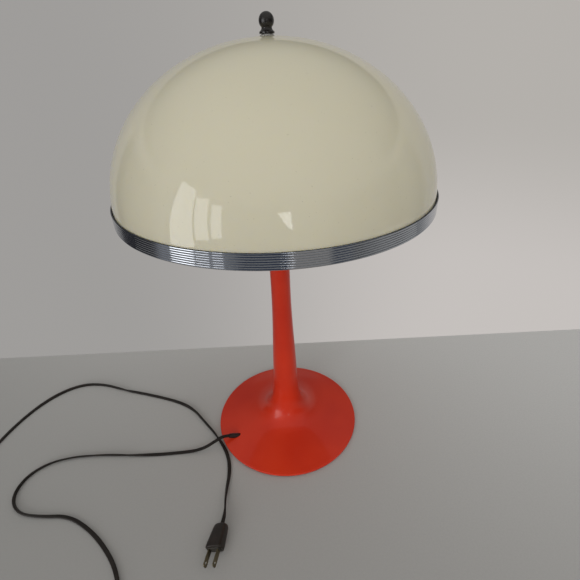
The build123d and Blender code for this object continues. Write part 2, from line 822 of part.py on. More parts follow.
# ---------------------------------------------------------------- plug
def section_drop(size):
    """Lowest reach of a rolled rounded section below the plug's axis."""
    width, thickness, corner = size
    turn = radians(plug_roll)
    return (width / 2 - corner) * sin(turn) + (thickness / 2 - corner) * cos(turn) + corner


plug_height = section_drop(plug_front_size) + plug_lie
plug_rear = Vector(*plug_place, plug_height)
plug_axis = Vector(cos(radians(plug_bearing)), sin(radians(plug_bearing)), 0)
upright = Vector(0, 0, 1)
level_side = upright.cross(plug_axis)
wide_side = level_side * cos(radians(plug_roll)) + upright * sin(radians(plug_roll))
plug_front = plug_rear + plug_axis * plug_length
plug_plane = Plane(plug_front, x_dir=wide_side, z_dir=plug_axis)

# Plug body: flat and tapered, rounder at the cord end, open in front for the core.
with BuildPart() as plug_shell:
    for place, size in ((plug_rear, plug_rear_size), (plug_front, plug_front_size)):
        with BuildSketch(Plane(place, x_dir=wide_side, z_dir=plug_axis)):
            RectangleRounded(size[0], size[1], size[2])
    loft()
    fillet(plug_shell.faces().sort_by(Axis(plug_rear, plug_axis))[0].edges(), plug_rear_rounding)
    with BuildSketch(plug_plane):
        RectangleRounded(*plug_core_size, plug_core_corner)
    extrude(amount=-plug_core_depth, mode=Mode.SUBTRACT)
write(plug_shell, "plug_shell")

# Core that holds the blades, standing a little proud of the body.
blade_places = [(-blade_spacing / 2, 0), (blade_spacing / 2, 0)]
with BuildPart() as plug_core:
    with BuildSketch(plug_plane.offset(-plug_core_depth)):
        core_width, core_thickness = plug_core_size
        core_size = (core_width - 2 * plug_gap, core_thickness - 2 * plug_gap)
        RectangleRounded(*core_size, plug_core_corner - plug_gap)
    extrude(amount=plug_core_depth + plug_core_proud)
    with BuildSketch(plug_plane.offset(-blade_root)):
        with Locations(*blade_places):
            Rectangle(blade_thickness + 2 * blade_gap, blade_width + 2 * blade_gap)
    extrude(amount=blade_root + plug_core_proud, mode=Mode.SUBTRACT)
write(plug_core, "plug_core")

# Two flat blades with the usual hole near the tip.
with BuildPart() as plug_blades:
    with BuildSketch(plug_plane.offset(-blade_root)):
        with Locations(*blade_places):
            Rectangle(blade_thickness, blade_width)
    extrude(amount=blade_root + plug_core_proud + blade_length)
    blade_tip = plug_front + plug_axis * (plug_core_proud + blade_length)
    hole_middle = blade_tip - plug_axis * blade_hole_from_tip
    with BuildSketch(Plane(hole_middle - wide_side * blade_spacing, x_dir=plug_axis, z_dir=wide_side)):
        Circle(blade_hole_radius)
    extrude(amount=2 * blade_spacing, mode=Mode.SUBTRACT)
write(plug_blades, "plug_blades")

# ---------------------------------------------------------------- cord outside
# From the bushing over its own far end, out to the left, round a wide loop and back to the plug.
cord_lie = cord_radius
cord_route = [
    exit_mouth,
    exit_mouth + exit_direction * exit_lead,
    (-112.0, -54.2, 14.2),
    (-126.5, -60.0, 9.0),
    (-143.5, -61.7, 4.3),
    (-163.0, -61.9, cord_lie),
    (-196.0, -63.3, cord_lie),
    (-240.0, -62.6, cord_lie),
    (-286.0, -59.2, cord_lie),
    (-328.0, -59.6, cord_lie),
    (-362.0, -69.0, cord_lie),
    (-384.0, -91.0, cord_lie),
    (-386.0, -121.0, cord_lie),
    (-366.0, -143.0, cord_lie),
    (-333.0, -149.0, cord_lie),
    (-295.0, -149.5, cord_lie),
    (-258.0, -170.0, cord_lie),
    (-229.0, -194.5, cord_lie),
    (-207.0, -220.5, cord_lie),
    (-193.0, -254.0, cord_lie),
    (-198.0, -291.0, cord_lie),
    (-222.0, -322.0, cord_lie),
    (-260.0, -340.0, cord_lie),
    (-304.0, -342.0, cord_lie),
    (-348.0, -330.0, cord_lie),
    (-388.0, -305.0, cord_lie),
    (-421.0, -269.0, cord_lie),
    (-446.0, -224.0, cord_lie),
    (-461.0, -173.0, cord_lie),
    (-468.0, -119.0, cord_lie),
    (-467.0, -64.0, cord_lie),
    (-459.0, -11.0, cord_lie),
    (-442.0, 36.0, cord_lie),
    (-414.0, 74.0, cord_lie),
    (-376.0, 95.0, cord_lie),
    (-335.0, 91.5, cord_lie),
    (-298.0, 76.5, cord_lie),
    (-260.0, 65.6, cord_lie),
    (-221.0, 52.8, cord_lie),
    (-184.0, 38.2, cord_lie),
    (-157.0, 18.5, cord_lie),
    (-138.5, -4.5, cord_lie),
    (-121.0, -25.4, cord_lie),
    (-102.9, -50.0, cord_lie),
    (-90.3, -75.0, cord_lie),
    (-86.8, -100.5, cord_lie),
    (-88.4, -124.0, cord_lie),
    (-88.4, -144.0, 5.2),
    plug_rear - plug_axis * plug_lead,
    plug_rear,
]
cord_route = [Vector(*point) for point in cord_route]


def turn_radius(before, corner, after):
    """The largest arc at a corner: 0.45 of the shorter run over the tangent of half the turn."""
    turn = (corner - before).get_angle(after - corner)
    shorter = min((corner - before).length, (after - corner).length)
    return 0.45 * shorter / tan(radians(turn) / 2)


cord_radii = [turn_radius(*cord_route[i : i + 3]) for i in range(len(cord_route) - 2)]
print("cord radii", [round(radius) for radius in cord_radii])
runs = [(b - a).length for a, b in zip(cord_route, cord_route[1:])]
print("cord runs", [round(run) for run in runs])

with BuildPart() as power_cord:
    with BuildLine() as cord_path:
        FilletPolyline(*cord_route, radius=cord_radii)
    with BuildSketch(Plane(exit_mouth, z_dir=cord_path.wires()[0] % 0)):
        Circle(cord_radius)
    sweep()
write(power_cord, "power_cord")

cord_length = cord_path.wires()[0].length
section = pi * cord_radius**2
print("cord length", round(cord_length, 1), "lowest", round(power_cord.part.bounding_box().min.Z, 3))
print("volume over section times length", round(power_cord.part.volume / (section * cord_length), 5))
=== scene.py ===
import math

import bmesh
import bpy
import numpy as np
from mathutils import Matrix, Vector


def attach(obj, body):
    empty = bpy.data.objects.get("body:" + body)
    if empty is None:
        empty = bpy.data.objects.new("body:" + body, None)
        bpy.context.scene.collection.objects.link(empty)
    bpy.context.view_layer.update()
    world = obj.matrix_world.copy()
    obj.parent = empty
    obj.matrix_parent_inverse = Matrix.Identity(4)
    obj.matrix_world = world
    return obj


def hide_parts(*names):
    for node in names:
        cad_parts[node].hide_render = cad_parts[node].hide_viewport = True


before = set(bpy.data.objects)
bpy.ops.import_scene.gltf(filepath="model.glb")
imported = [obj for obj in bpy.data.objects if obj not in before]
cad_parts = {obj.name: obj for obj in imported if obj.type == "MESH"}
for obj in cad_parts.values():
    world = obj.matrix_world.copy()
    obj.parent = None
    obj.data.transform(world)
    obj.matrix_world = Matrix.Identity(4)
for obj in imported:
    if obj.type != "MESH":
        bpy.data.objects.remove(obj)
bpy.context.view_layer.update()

mm = 0.001

# ---------------------------------------------------------------- tulip base and stem
# The base and the stem are one spun steel shell: a wide foot that flares up into a slim tube. It is sprayed
# with thick glossy orange-red enamel, which keeps a little of the sprayer's ripple, and its edge is rolled.
base_radius = 110.5 * mm
base_wall = 1.2 * mm
felt_thickness = 1.5 * mm
rim_top = felt_thickness + 3.1 * mm
rim_rounding = 1.1 * mm
stem_top = 345.5 * mm
stem_radius = 13.0 * mm
taper_top = 255.0 * mm
flare_middle = [  # radius and height in mm, from the rim up
    (86.0, 9.4), (60.0, 14.6), (40.0, 22.5), (27.0, 37.0), (20.4, 62.0), (17.3, 118.0), (14.4, 188.0),
]
flare_ends = [(-1.0, 0.17), (0.0, 1.0)]
enamel_red = (0.76, 0.040, 0.010, 1.0)
enamel_deep = (0.68, 0.030, 0.008, 1.0)
crease = 38.0  # degrees: a sharper edge stays sharp
on_axis = 1e-7  # a smaller radius is a point on the axis
widest_easing = 0.48  # the share of a side that the rounding of a corner may take


class Wire:
    """One output of a node. Plain arithmetic on it adds Math nodes."""

    def __init__(self, plan, socket):
        self.plan = plan
        self.socket = socket

    def __add__(self, other):
        return self.plan.math("ADD", self, other)

    def __sub__(self, other):
        return self.plan.math("SUBTRACT", self, other)

    def __rsub__(self, other):
        return self.plan.math("SUBTRACT", other, self)

    def __mul__(self, other):
        return self.plan.math("MULTIPLY", self, other)

    def __truediv__(self, other):
        return self.plan.math("DIVIDE", self, other)

    def __pow__(self, other):
        return self.plan.math("POWER", self, other)

    def __abs__(self):
        return self.plan.math("ABSOLUTE", self)

    __radd__ = __add__
    __rmul__ = __mul__

    def output(self, name):
        """Another output of the same node."""
        return Wire(self.plan, self.socket.node.outputs[name])


class Plan:
    """The nodes of one finish or of one shape."""

    def __init__(self, tree):
        self.tree = tree

    def node(self, kind, settings=None, values=None, output=0):
        """Adds a node: its settings first, then the values or links of its inputs."""
        made_node = self.tree.nodes.new(kind)
        for name, value in (settings or {}).items():
            if name == "stops":
                ramp = made_node.color_ramp.elements
                while len(ramp) < len(value):
                    ramp.new(1.0)
                for stop, (place, colour) in zip(ramp, value):
                    stop.position = place
                    stop.color = colour
            else:
                setattr(made_node, name, value)
        for name, value in (values or {}).items():
            if isinstance(value, Wire):
                self.tree.links.new(value.socket, made_node.inputs[name])
            else:
                made_node.inputs[name].default_value = value
        return Wire(self, made_node.outputs[output]) if made_node.outputs else None

    def math(self, operation, first, second=0.0):
        return self.node("ShaderNodeMath", {"operation": operation}, {0: first, 1: second})

    def axes_of(self, vector):
        """The three numbers of a vector."""
        x = self.node("ShaderNodeSeparateXYZ", None, {"Vector": vector}, output="X")
        return x, x.output("Y"), x.output("Z")

    def between(self, signal, low, high):
        """0 below low, 1 above high, and smooth between them."""
        values = {"Value": signal, "From Min": low, "From Max": high}
        return self.node("ShaderNodeMapRange", {"interpolation_type": "SMOOTHSTEP"}, values)

    def mix(self, share, first, second):
        return self.node("ShaderNodeMix", {"data_type": "RGBA"}, {0: share, 6: first, 7: second}, output=2)


class Finish(Plan):
    """A painted, plated, moulded or woven surface, placed by the piece's own coordinates."""

    def __init__(self, name):
        self.material = bpy.data.materials.new(name)
        self.material.use_nodes = True
        super().__init__(self.material.node_tree)
        self.tree.nodes.clear()
        self.place = self.node("ShaderNodeTexCoord", output="Object")

    def noise(self, scale, detail=3.0, roughness=0.55, stretch=None):
        place = self.place
        if stretch:
            place = self.node("ShaderNodeMapping", None, {"Vector": place, "Scale": stretch})
        values = {"Vector": place, "Scale": scale, "Detail": detail, "Roughness": roughness}
        return self.node("ShaderNodeTexNoise", None, values)

    def bump(self, height, depth, strength=1.0):
        return self.node("ShaderNodeBump", None, {"Height": height, "Distance": depth, "Strength": strength})

    def surface(self, **values):
        """Ends the finish in one shader. Underscores in the names stand for spaces."""
        sockets = {name.replace("_", " "): value for name, value in values.items()}
        shader = self.node("ShaderNodeBsdfPrincipled", None, sockets)
        self.node("ShaderNodeOutputMaterial", None, {"Surface": shader})
        return self.material


def enamel():
    """Thick glossy enamel with a faint ripple and a little dust."""
    paint = Finish("orange_enamel")
    drift = paint.noise(11.0, 2.0)
    ripple = paint.noise(240.0, 2.0)
    dust = paint.between(paint.noise(1900.0, 1.0), 0.69, 0.76)
    colour = paint.mix(paint.between(drift, 0.35, 0.7), enamel_red, enamel_deep)
    return paint.surface(
        Base_Color=paint.mix(dust * 0.22, colour, (0.62, 0.42, 0.36, 1.0)),
        Roughness=0.30 + drift * 0.08 + dust * 0.3,
        Specular_IOR_Level=0.24,
        Coat_Weight=0.32,
        Coat_Roughness=0.07,
        Normal=paint.bump(ripple + dust * 0.2, 0.04 * mm, 0.25),
    )


def added(name, data):
    """A new object in the scene: a mesh, curve, light or camera."""
    thing = bpy.data.objects.new(name, data)
    bpy.context.scene.collection.objects.link(thing)
    return thing


def finished(name, form, place=Matrix.Identity(4), sharp=crease):
    """The form as an object, its faces outwards, smooth but for its sharp edges."""
    bmesh.ops.recalc_face_normals(form, faces=form.faces)
    form.transform(place)
    mesh = bpy.data.meshes.new(name)
    form.to_mesh(mesh)
    form.free()
    mesh.shade_smooth()
    mesh.set_sharp_from_angle(angle=math.radians(sharp))
    return added(name, mesh)


def ring_of(radius, count=32, middle=(0.0, 0.0)):
    """A round loop of points."""
    turns = [math.tau * i / count for i in range(count)]
    return [(middle[0] + radius * math.cos(a), middle[1] + radius * math.sin(a)) for a in turns]


def skin(form, rings):
    """Faces between rings of equally many points. A pole is a ring of one point, repeated."""
    around = len(rings[0])
    for low, high in zip(rings, rings[1:]):
        for i in range(around):
            following = (i + 1) % around
            corners = list(dict.fromkeys([low[i], low[following], high[following], high[i]]))
            if len(corners) > 2:
                form.faces.new(corners)


def turned(name, outline, turns=128, place=Matrix.Identity(4), sharp=crease):
    """A piece turned about Z: outline is (radius, height) points, closed, or open from axis to axis."""
    form = bmesh.new()
    rings = []
    for radius, height in outline:
        if radius < on_axis:
            rings.append([form.verts.new((0.0, 0.0, height))] * turns)
        else:
            rings.append([form.verts.new((x, y, height)) for x, y in ring_of(radius, turns)])
    if outline[0][0] >= on_axis:
        rings.append(rings[0])
    skin(form, rings)
    return finished(name, form, place, sharp)


def eased(corners, steps=5, closed=True):
    """The outline with rounded corners. A corner is (radius, height) or (radius, height, rounding)."""
    count = len(corners)
    outline = []
    for i, corner in enumerate(corners):
        here = np.array(corner[:2])
        rounding = corner[2] if len(corner) > 2 else 0.0
        if rounding <= 0 or (not closed and i in (0, count - 1)):
            outline.append(tuple(here))
            continue
        before = np.array(corners[i - 1][:2]) - here
        after = np.array(corners[(i + 1) % count][:2]) - here
        length_before, length_after = np.linalg.norm(before), np.linalg.norm(after)
        reach = min(rounding, widest_easing * length_before, widest_easing * length_after)
        start = here + before / length_before * reach
        end = here + after / length_after * reach
        for share in np.linspace(0, 1, steps + 1):
            rest = 1 - share
            outline.append(tuple(rest**2 * start + 2 * share * rest * here + share**2 * end))
    return outline


def flowing(points, first, last, count=12):
    """Points along one smooth line through these points, with its directions at both ends."""
    points = np.array(points, float)
    steps = np.linalg.norm(np.diff(points, axis=0), axis=1)
    slopes = np.diff(points, axis=0) / steps[:, None]
    balance = np.eye(len(points))
    target = np.zeros_like(points)
    target[0] = np.array(first) / np.linalg.norm(first)
    target[-1] = np.array(last) / np.linalg.norm(last)
    for i in range(1, len(points) - 1):
        balance[i, i - 1 : i + 2] = (steps[i], 2 * (steps[i - 1] + steps[i]), steps[i - 1])
        target[i] = 3 * (steps[i] * slopes[i - 1] + steps[i - 1] * slopes[i])
    speeds = np.linalg.solve(balance, target)
    line = []
    for i, step in enumerate(steps):
        for t in np.linspace(0, 1, count, endpoint=False):
            line.append(
                (2 * t**3 - 3 * t**2 + 1) * points[i]
                + (3 * t**2 - 2 * t**3) * points[i + 1]
                + (t**3 - 2 * t**2 + t) * step * speeds[i]
                + (t**3 - t**2) * step * speeds[i + 1]
            )
    return [tuple(point) for point in line] + [tuple(points[-1])]


def beside(line, depth):
    """The line moved sideways by this depth, to its left."""
    line = np.array(line)
    along = np.gradient(line, axis=0)
    along /= np.linalg.norm(along, axis=1)[:, None]
    return [tuple(point) for point in line + depth * np.stack([-along[:, 1], along[:, 0]], axis=1)]


def pierced(piece, place, radius, depth):
    """Drills a round hole through place along its Z, this deep to both sides."""
    drill = turned("drill", [(0, -depth), (radius, -depth), (radius, depth), (0, depth)], 48, place)
    cut = piece.modifiers.new("hole", "BOOLEAN")
    cut.object = drill
    cut.solver = "EXACT"
    plain(piece)
    bpy.data.objects.remove(drill)
    piece.data.set_sharp_from_angle(angle=math.radians(crease))
    return piece


def plain(piece):
    """Turns what the piece's modifiers make into its own plain mesh."""
    bpy.context.view_layer.update()
    graph = bpy.context.evaluated_depsgraph_get()
    mesh = bpy.data.meshes.new_from_object(piece.evaluated_get(graph))
    mesh.name = piece.name
    piece.modifiers.clear()
    piece.data = mesh
    return piece


def fit(piece, body, slot, finish, *nodes):
    """Gives a piece its finish, lets it ride on its body and stand for its CAD nodes. The slot is not used.
    """
    piece.data.materials.clear()
    piece.data.materials.append(finish)
    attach(piece, body)
    if nodes:
        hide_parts(*nodes)
    return piece


def repaint(finish, *nodes):
    """Gives CAD pieces that stay as they are their finish."""
    for name in nodes:
        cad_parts[name].material_slots[0].material = finish


def placed(origin, x, y, z):
    """The place at origin with these three axes."""
    return Matrix.Translation(Vector(origin)) @ Matrix((x, y, z)).transposed().to_4x4()


def aimed(origin, axis):
    """A place whose Z runs along axis, and whose X is level."""
    along = Vector(axis).normalized()
    side = upright.cross(along).normalized()
    return placed(origin, side, along.cross(side), along)


def heading(bearing, rise):
    """The direction with this bearing from X and this angle above level."""
    level = math.cos(rise)
    return Vector((math.cos(bearing) * level, math.sin(bearing) * level, math.sin(rise)))


upright = Vector((0, 0, 1))
exit_middle = Vector((-83.2, -42.2, 9.0)) * mm
exit_direction = heading(bearing=math.radians(195.0), rise=math.radians(20.0))
hole_radius = 3.65 * mm
hole_depth = 9.0 * mm
inner_radius = base_radius - base_wall
rim_points = 4  # so many of the flare's first points are left to the rim, inside the shell

flare_points = [(r * mm, z * mm) for r, z in flare_middle]
flare_points = [(base_radius, rim_top)] + flare_points + [(stem_radius, taper_top)]
flare = flowing(flare_points, *flare_ends, count=16)
under_flare = beside(flare, base_wall)[rim_points:]
rim = eased(
    [
        (inner_radius, rim_top - base_wall, 0.5 * mm),
        (inner_radius, felt_thickness, 0.3 * mm),
        (base_radius, felt_thickness, 0.6 * mm),
        (base_radius, rim_top, rim_rounding),
        flare[1],
    ],
    closed=False,
)
stem_bevel = 0.4 * mm
stem_bore = stem_radius - base_wall
stem_end = [(stem_radius, stem_top - stem_bevel), (stem_radius - stem_bevel, stem_top), (stem_bore, stem_top)]
orange_enamel = enamel()
tulip = turned("tulip_base_shell", rim + flare[2:] + stem_end + under_flare[::-1], turns=288, sharp=50.0)
pierced(tulip, aimed(exit_middle, exit_direction), hole_radius, hole_depth)
fit(tulip, "lamp", "orange_enamel", orange_enamel, "tulip_base")

# ---------------------------------------------------------------- felt, weight, nut and pipe
# A felt disc is glued under the base. Above it a cast weight is drawn up against the flare by a washer and
# a nut on the threaded pipe, which runs up the stem to the socket.
felt_radius = base_radius - 2.6 * mm
felt_green = (0.020, 0.045, 0.030, 1.0)
felt_light = (0.060, 0.095, 0.070, 1.0)


def felt_cloth():
    """Pressed wool: fine tangled fibres."""
    cloth = Finish("felt")
    fibres = cloth.noise(2600.0, 4.0, 0.7, stretch=(1.0, 0.35, 1.0))
    tangle = cloth.noise(700.0, 3.0, 0.6)
    return cloth.surface(
        Base_Color=cloth.mix(fibres * 0.6 + tangle * 0.3, felt_green, felt_light),
        Roughness=0.95,
        Sheen_Weight=0.4,
        Normal=cloth.bump(fibres + tangle, 0.25 * mm, 0.8),
    )


def metal(name, colour, dull, roughness, polish=60.0, tarnish=0.4):
    """Bare or plated metal with fine polishing marks and duller patches."""
    plate = Finish(name)
    marks = plate.noise(1500.0, 3.0, 0.6, stretch=(1.0, 1.0, 1.0 / polish))
    patches = plate.between(plate.noise(85.0, 4.0, 0.65), 0.46, 0.72)
    return plate.surface(
        Base_Color=plate.mix(patches * tarnish, colour, dull),
        Metallic=1.0,
        Roughness=roughness + marks * 0.10 + patches * 0.16,
        Normal=plate.bump(marks, 0.01 * mm, 0.25),
    )


felt_outline = eased(
    [(0, 0), (felt_radius, 0, 0.4 * mm), (felt_radius, felt_thickness, 0.3 * mm), (0, felt_thickness)],
    closed=False,
)
fit(turned("felt_pad", felt_outline, turns=160), "lamp", "felt", felt_cloth(), "base_felt")
zinc = metal("zinc_steel", (0.60, 0.60, 0.58, 1.0), (0.38, 0.37, 0.35, 1.0), 0.34)
iron = metal("cast_weight", (0.10, 0.10, 0.10, 1.0), (0.16, 0.09, 0.06, 1.0), 0.62)
repaint(iron, "ballast_weight")
repaint(zinc, "bottom_washer", "bottom_nut", "lamp_pipe")

# ---------------------------------------------------------------- cord
# A light-duty mains lead: two cores side by side in one dark brown vinyl skin with a groove between them.
# It leaves the base through a rubber sleeve, passes over its own end, and lies on the table in loose curves
# with slow twists.
cord_width = 5.2 * mm
core_radius = 1.45 * mm
core_offset = cord_width / 2 - core_radius
cord_lie = 2.6
held_ends = 40.0 * mm
exit_mouth = exit_middle + exit_direction * hole_depth
exit_lead = 10.0
cord_brown = (0.013, 0.009, 0.007, 1.0)
cord_worn = (0.027, 0.021, 0.017, 1.0)

plug_place = (-88.3, -175.5, 9.52)
plug_axis = heading(bearing=math.radians(-101.7), rise=0.0)
plug_lead = 13.0

cord_on_table = [
    (-163.0, -61.9), (-196.0, -63.3), (-240.0, -62.6), (-286.0, -59.2), (-328.0, -59.6), (-362.0, -69.0),
    (-384.0, -91.0), (-386.0, -121.0), (-366.0, -143.0), (-333.0, -149.0), (-295.0, -149.5),
    (-258.0, -170.0), (-229.0, -194.5), (-207.0, -220.5), (-193.0, -254.0), (-198.0, -291.0),
    (-222.0, -322.0), (-260.0, -340.0), (-304.0, -342.0), (-348.0, -330.0), (-388.0, -305.0),
    (-421.0, -269.0), (-446.0, -224.0), (-461.0, -173.0), (-468.0, -119.0), (-467.0, -64.0),
    (-459.0, -11.0), (-442.0, 36.0), (-414.0, 74.0), (-376.0, 95.0), (-335.0, 91.5), (-298.0, 76.5),
    (-260.0, 65.6), (-221.0, 52.8), (-184.0, 38.2), (-157.0, 18.5), (-138.5, -4.5), (-121.0, -25.4),
    (-102.9, -50.0), (-90.3, -75.0), (-86.8, -100.5), (-88.4, -124.0),
]
cord_route = [
    tuple(exit_mouth / mm),
    tuple((exit_mouth / mm) + exit_direction * exit_lead),
    (-112.0, -54.2, 14.2),
    (-126.5, -60.0, 9.0),
    (-143.5, -61.7, 4.3),
    *[(x, y, cord_lie) for x, y in cord_on_table],
    (-88.4, -144.0, 5.2),
    tuple(Vector(plug_place) - plug_axis * plug_lead),
    plug_place,
]


class Shape(Plan):
    """A Geometry Nodes tree for a shape that follows a rule, with its sizes as named inputs."""

    def __init__(self, name):
        super().__init__(bpy.data.node_groups.new(name, "GeometryNodeTree"))
        self.tree.interface.new_socket("Geometry", in_out="INPUT", socket_type="NodeSocketGeometry")
        self.tree.interface.new_socket("Geometry", in_out="OUTPUT", socket_type="NodeSocketGeometry")
        self.given = self.tree.nodes.new("NodeGroupInput").outputs
        self.geometry = Wire(self, self.given["Geometry"])

    def size(self, name, kind="NodeSocketFloat"):
        self.tree.interface.new_socket(name, in_out="INPUT", socket_type=kind)
        return Wire(self, self.given[name])

    def end(self, geometry):
        """Closes the tree: real geometry, with the piece's finish on it."""
        finish = self.size("Finish", "NodeSocketMaterial")
        real = self.node("GeometryNodeRealizeInstances", None, {"Geometry": geometry})
        covered = self.node("GeometryNodeSetMaterial", None, {"Geometry": real, "Material": finish})
        self.node("NodeGroupOutput", None, {"Geometry": covered})
        return self.tree


def shaped(piece, tree, finish, **sizes):
    """Runs a tree on the piece with these sizes, and keeps the result as its plain mesh."""
    rule = piece.modifiers.new(tree.name, "NODES")
    rule.node_group = tree
    sizes["Finish"] = finish
    for item in tree.interface.items_tree:
        name = item.name.replace(" ", "_")
        if item.in_out == "INPUT" and name in sizes:
            rule[item.identifier] = sizes[name]
    return plain(piece)


def twin_cord():
    """Two cores in one skin, swept along the line with the line's own turn, and laid down on the table."""
    points_round = 28
    parting, groove_depth, groove_sharpness = 2.6, 0.22, 7.0
    shape = Shape("twin_cord")
    core, offset = shape.size("Core Radius"), shape.size("Core Offset")
    held = shape.size("Held Ends")
    along = shape.node("GeometryNodeSplineParameter", output="Length")
    whole = shape.node("GeometryNodeSplineLength", output="Length")
    from_start = shape.node("ShaderNodeClamp", None, {"Value": along / held})
    from_end = shape.node("ShaderNodeClamp", None, {"Value": (whole - along) / held})
    free = from_start * from_end
    turn = shape.node("GeometryNodeInputNamedAttribute", {"data_type": "FLOAT"}, {"Name": "turn"})
    height = core + offset * abs(shape.math("SINE", turn))
    drop = (height - (core + offset)) * free
    lowered = shape.node("ShaderNodeCombineXYZ", None, {"Z": drop})
    line = shape.node("GeometryNodeMeshToCurve", None, {"Mesh": shape.geometry})
    line = shape.node("GeometryNodeSetCurveNormal", {"mode": "Z_UP"}, {"Curve": line})
    line = shape.node("GeometryNodeSetPosition", None, {"Geometry": line, "Offset": lowered})
    line = shape.node("GeometryNodeSetCurveTilt", None, {"Curve": line, "Tilt": turn})
    circle = {"Resolution": points_round, "Radius": 1.0}
    ring = shape.node("GeometryNodeCurvePrimitiveCircle", None, circle, output="Curve")
    x, y, _ = shape.axes_of(shape.node("GeometryNodeInputPosition"))
    apart = shape.node("ShaderNodeClamp", None, {"Value": x * parting, "Min": -1.0, "Max": 1.0})
    groove = 1.0 - groove_depth * (1.0 - x * x) ** groove_sharpness
    twin = {"X": core * x + offset * apart, "Y": core * y * groove}
    section = shape.node("ShaderNodeCombineXYZ", None, twin)
    ring = shape.node("GeometryNodeSetPosition", None, {"Geometry": ring, "Position": section})
    sweep = {"Curve": line, "Profile Curve": ring, "Fill Caps": True}
    return shape.end(shape.node("GeometryNodeCurveToMesh", None, sweep))


def vinyl():
    """Old vinyl: matt-glossy, a little paler where it is rubbed."""
    coat = Finish("brown_cord")
    rubbed = coat.between(coat.noise(60.0, 4.0, 0.7), 0.45, 0.75)
    grain = coat.noise(1600.0, 2.0)
    return coat.surface(
        Base_Color=coat.mix(rubbed, cord_brown, cord_worn),
        Roughness=0.36 + rubbed * 0.16 + grain * 0.06,
        Specular_IOR_Level=0.3,
        Normal=coat.bump(grain, 0.03 * mm, 0.3),
    )


def spline_through(name, points):
    """The smooth line that these control points give, in metres, and points read from it."""
    data = bpy.data.curves.new(name, "CURVE")
    data.dimensions = "3D"
    data.resolution_u = 9
    spline = data.splines.new("NURBS")
    spline.points.add(len(points) - 1)
    for point, place in zip(spline.points, points):
        point.co = (*(Vector(place) * mm), 1.0)
    spline.order_u = 3
    spline.use_endpoint_u = True
    curve = added(name, data)
    bpy.context.view_layer.update()
    graph = bpy.context.evaluated_depsgraph_get()
    mesh = bpy.data.meshes.new_from_object(curve.evaluated_get(graph))
    bpy.data.objects.remove(curve)
    return mesh, [vertex.co.copy() for vertex in mesh.vertices]


cord_mesh, cord_line = spline_through("cord_route", cord_route)
strides = [(b - a).length for a, b in zip(cord_line, cord_line[1:])]
lay = [  # how far along the cord in mm, and its turn there in degrees: 0 and 180 flat, 90 and 270 on its edge
    (0, 0), (127, 5), (176, 80), (215, 50), (250, 45), (330, 95), (420, 160), (520, 185), (640, 250),
    (760, 340), (880, 380), (1000, 440), (1100, 520), (1200, 545), (1272, 620), (1306, 625), (1366, 634),
    (1390, 712), (1490, 724), (1520, 800), (1590, 808), (1612, 880), (1660, 898), (1695, 965), (1720, 985),
    (1742, 1058),
]
places, angles = np.array(lay, float).T
turns = np.interp(np.cumsum([0.0] + strides) / mm, places, np.radians(angles))
window = np.hanning(9)
turns = np.convolve(np.pad(turns, len(window) // 2, mode="edge"), window / window.sum(), mode="valid")
cord_mesh.attributes.new("turn", "FLOAT", "POINT").data.foreach_set("value", turns.astype(np.float32))
cord_vinyl = vinyl()
cord = added("cord", cord_mesh)
shaped(cord, twin_cord(), cord_vinyl, Core_Radius=core_radius, Core_Offset=core_offset, Held_Ends=held_ends)
cord.data.shade_smooth()
fit(cord, "lamp", "brown_cord", cord_vinyl, "power_cord")
repaint(cord_vinyl, "inner_cord", "socket_leads")

# ---------------------------------------------------------------- sleeve of the cord
# A blunt sleeve keeps the cord off the steel edge of the base. It is moulded in dark rubber, rounded at its
# outer end, and pushed into the hole from outside.
sleeve_radius = 3.6 * mm
sleeve_tip_radius = 3.2 * mm
sleeve_bore = 2.65 * mm
sleeve_inside = -5.0 * mm
sleeve_outside = hole_depth


def moulded(name, colour, worn, roughness, grain=900.0, depth=0.03, coat=0.0):
    """Moulded rubber, plastic or lacquer: one colour with a fine grain and slightly rubbed patches."""
    stuff = Finish(name)
    rubbed = stuff.between(stuff.noise(120.0, 4.0, 0.65), 0.45, 0.78)
    fine = stuff.noise(grain, 3.0)
    return stuff.surface(
        Base_Color=stuff.mix(rubbed, colour, worn),
        Roughness=roughness + rubbed * 0.12 + fine * 0.08,
        Coat_Weight=coat,
        Coat_Roughness=0.12,
        Normal=stuff.bump(fine, depth * mm, 0.4),
    )


sleeve_rubber = moulded("black_rubber", (0.012, 0.006, 0.005, 1.0), (0.024, 0.014, 0.012, 1.0), 0.42)
sleeve_outline = eased(
    [
        (sleeve_bore, sleeve_inside),
        (sleeve_radius, sleeve_inside, 0.4 * mm),
        (sleeve_radius, sleeve_outside / 2, 2.0 * mm),
        (sleeve_tip_radius, sleeve_outside, 1.1 * mm),
        (sleeve_bore, sleeve_outside, 0.3 * mm),
    ],
    steps=6,
)
sleeve = turned("cord_sleeve", sleeve_outline, turns=48, place=aimed(exit_middle, exit_direction))
fit(sleeve, "lamp", "black_rubber", sleeve_rubber, "cord_bushing")

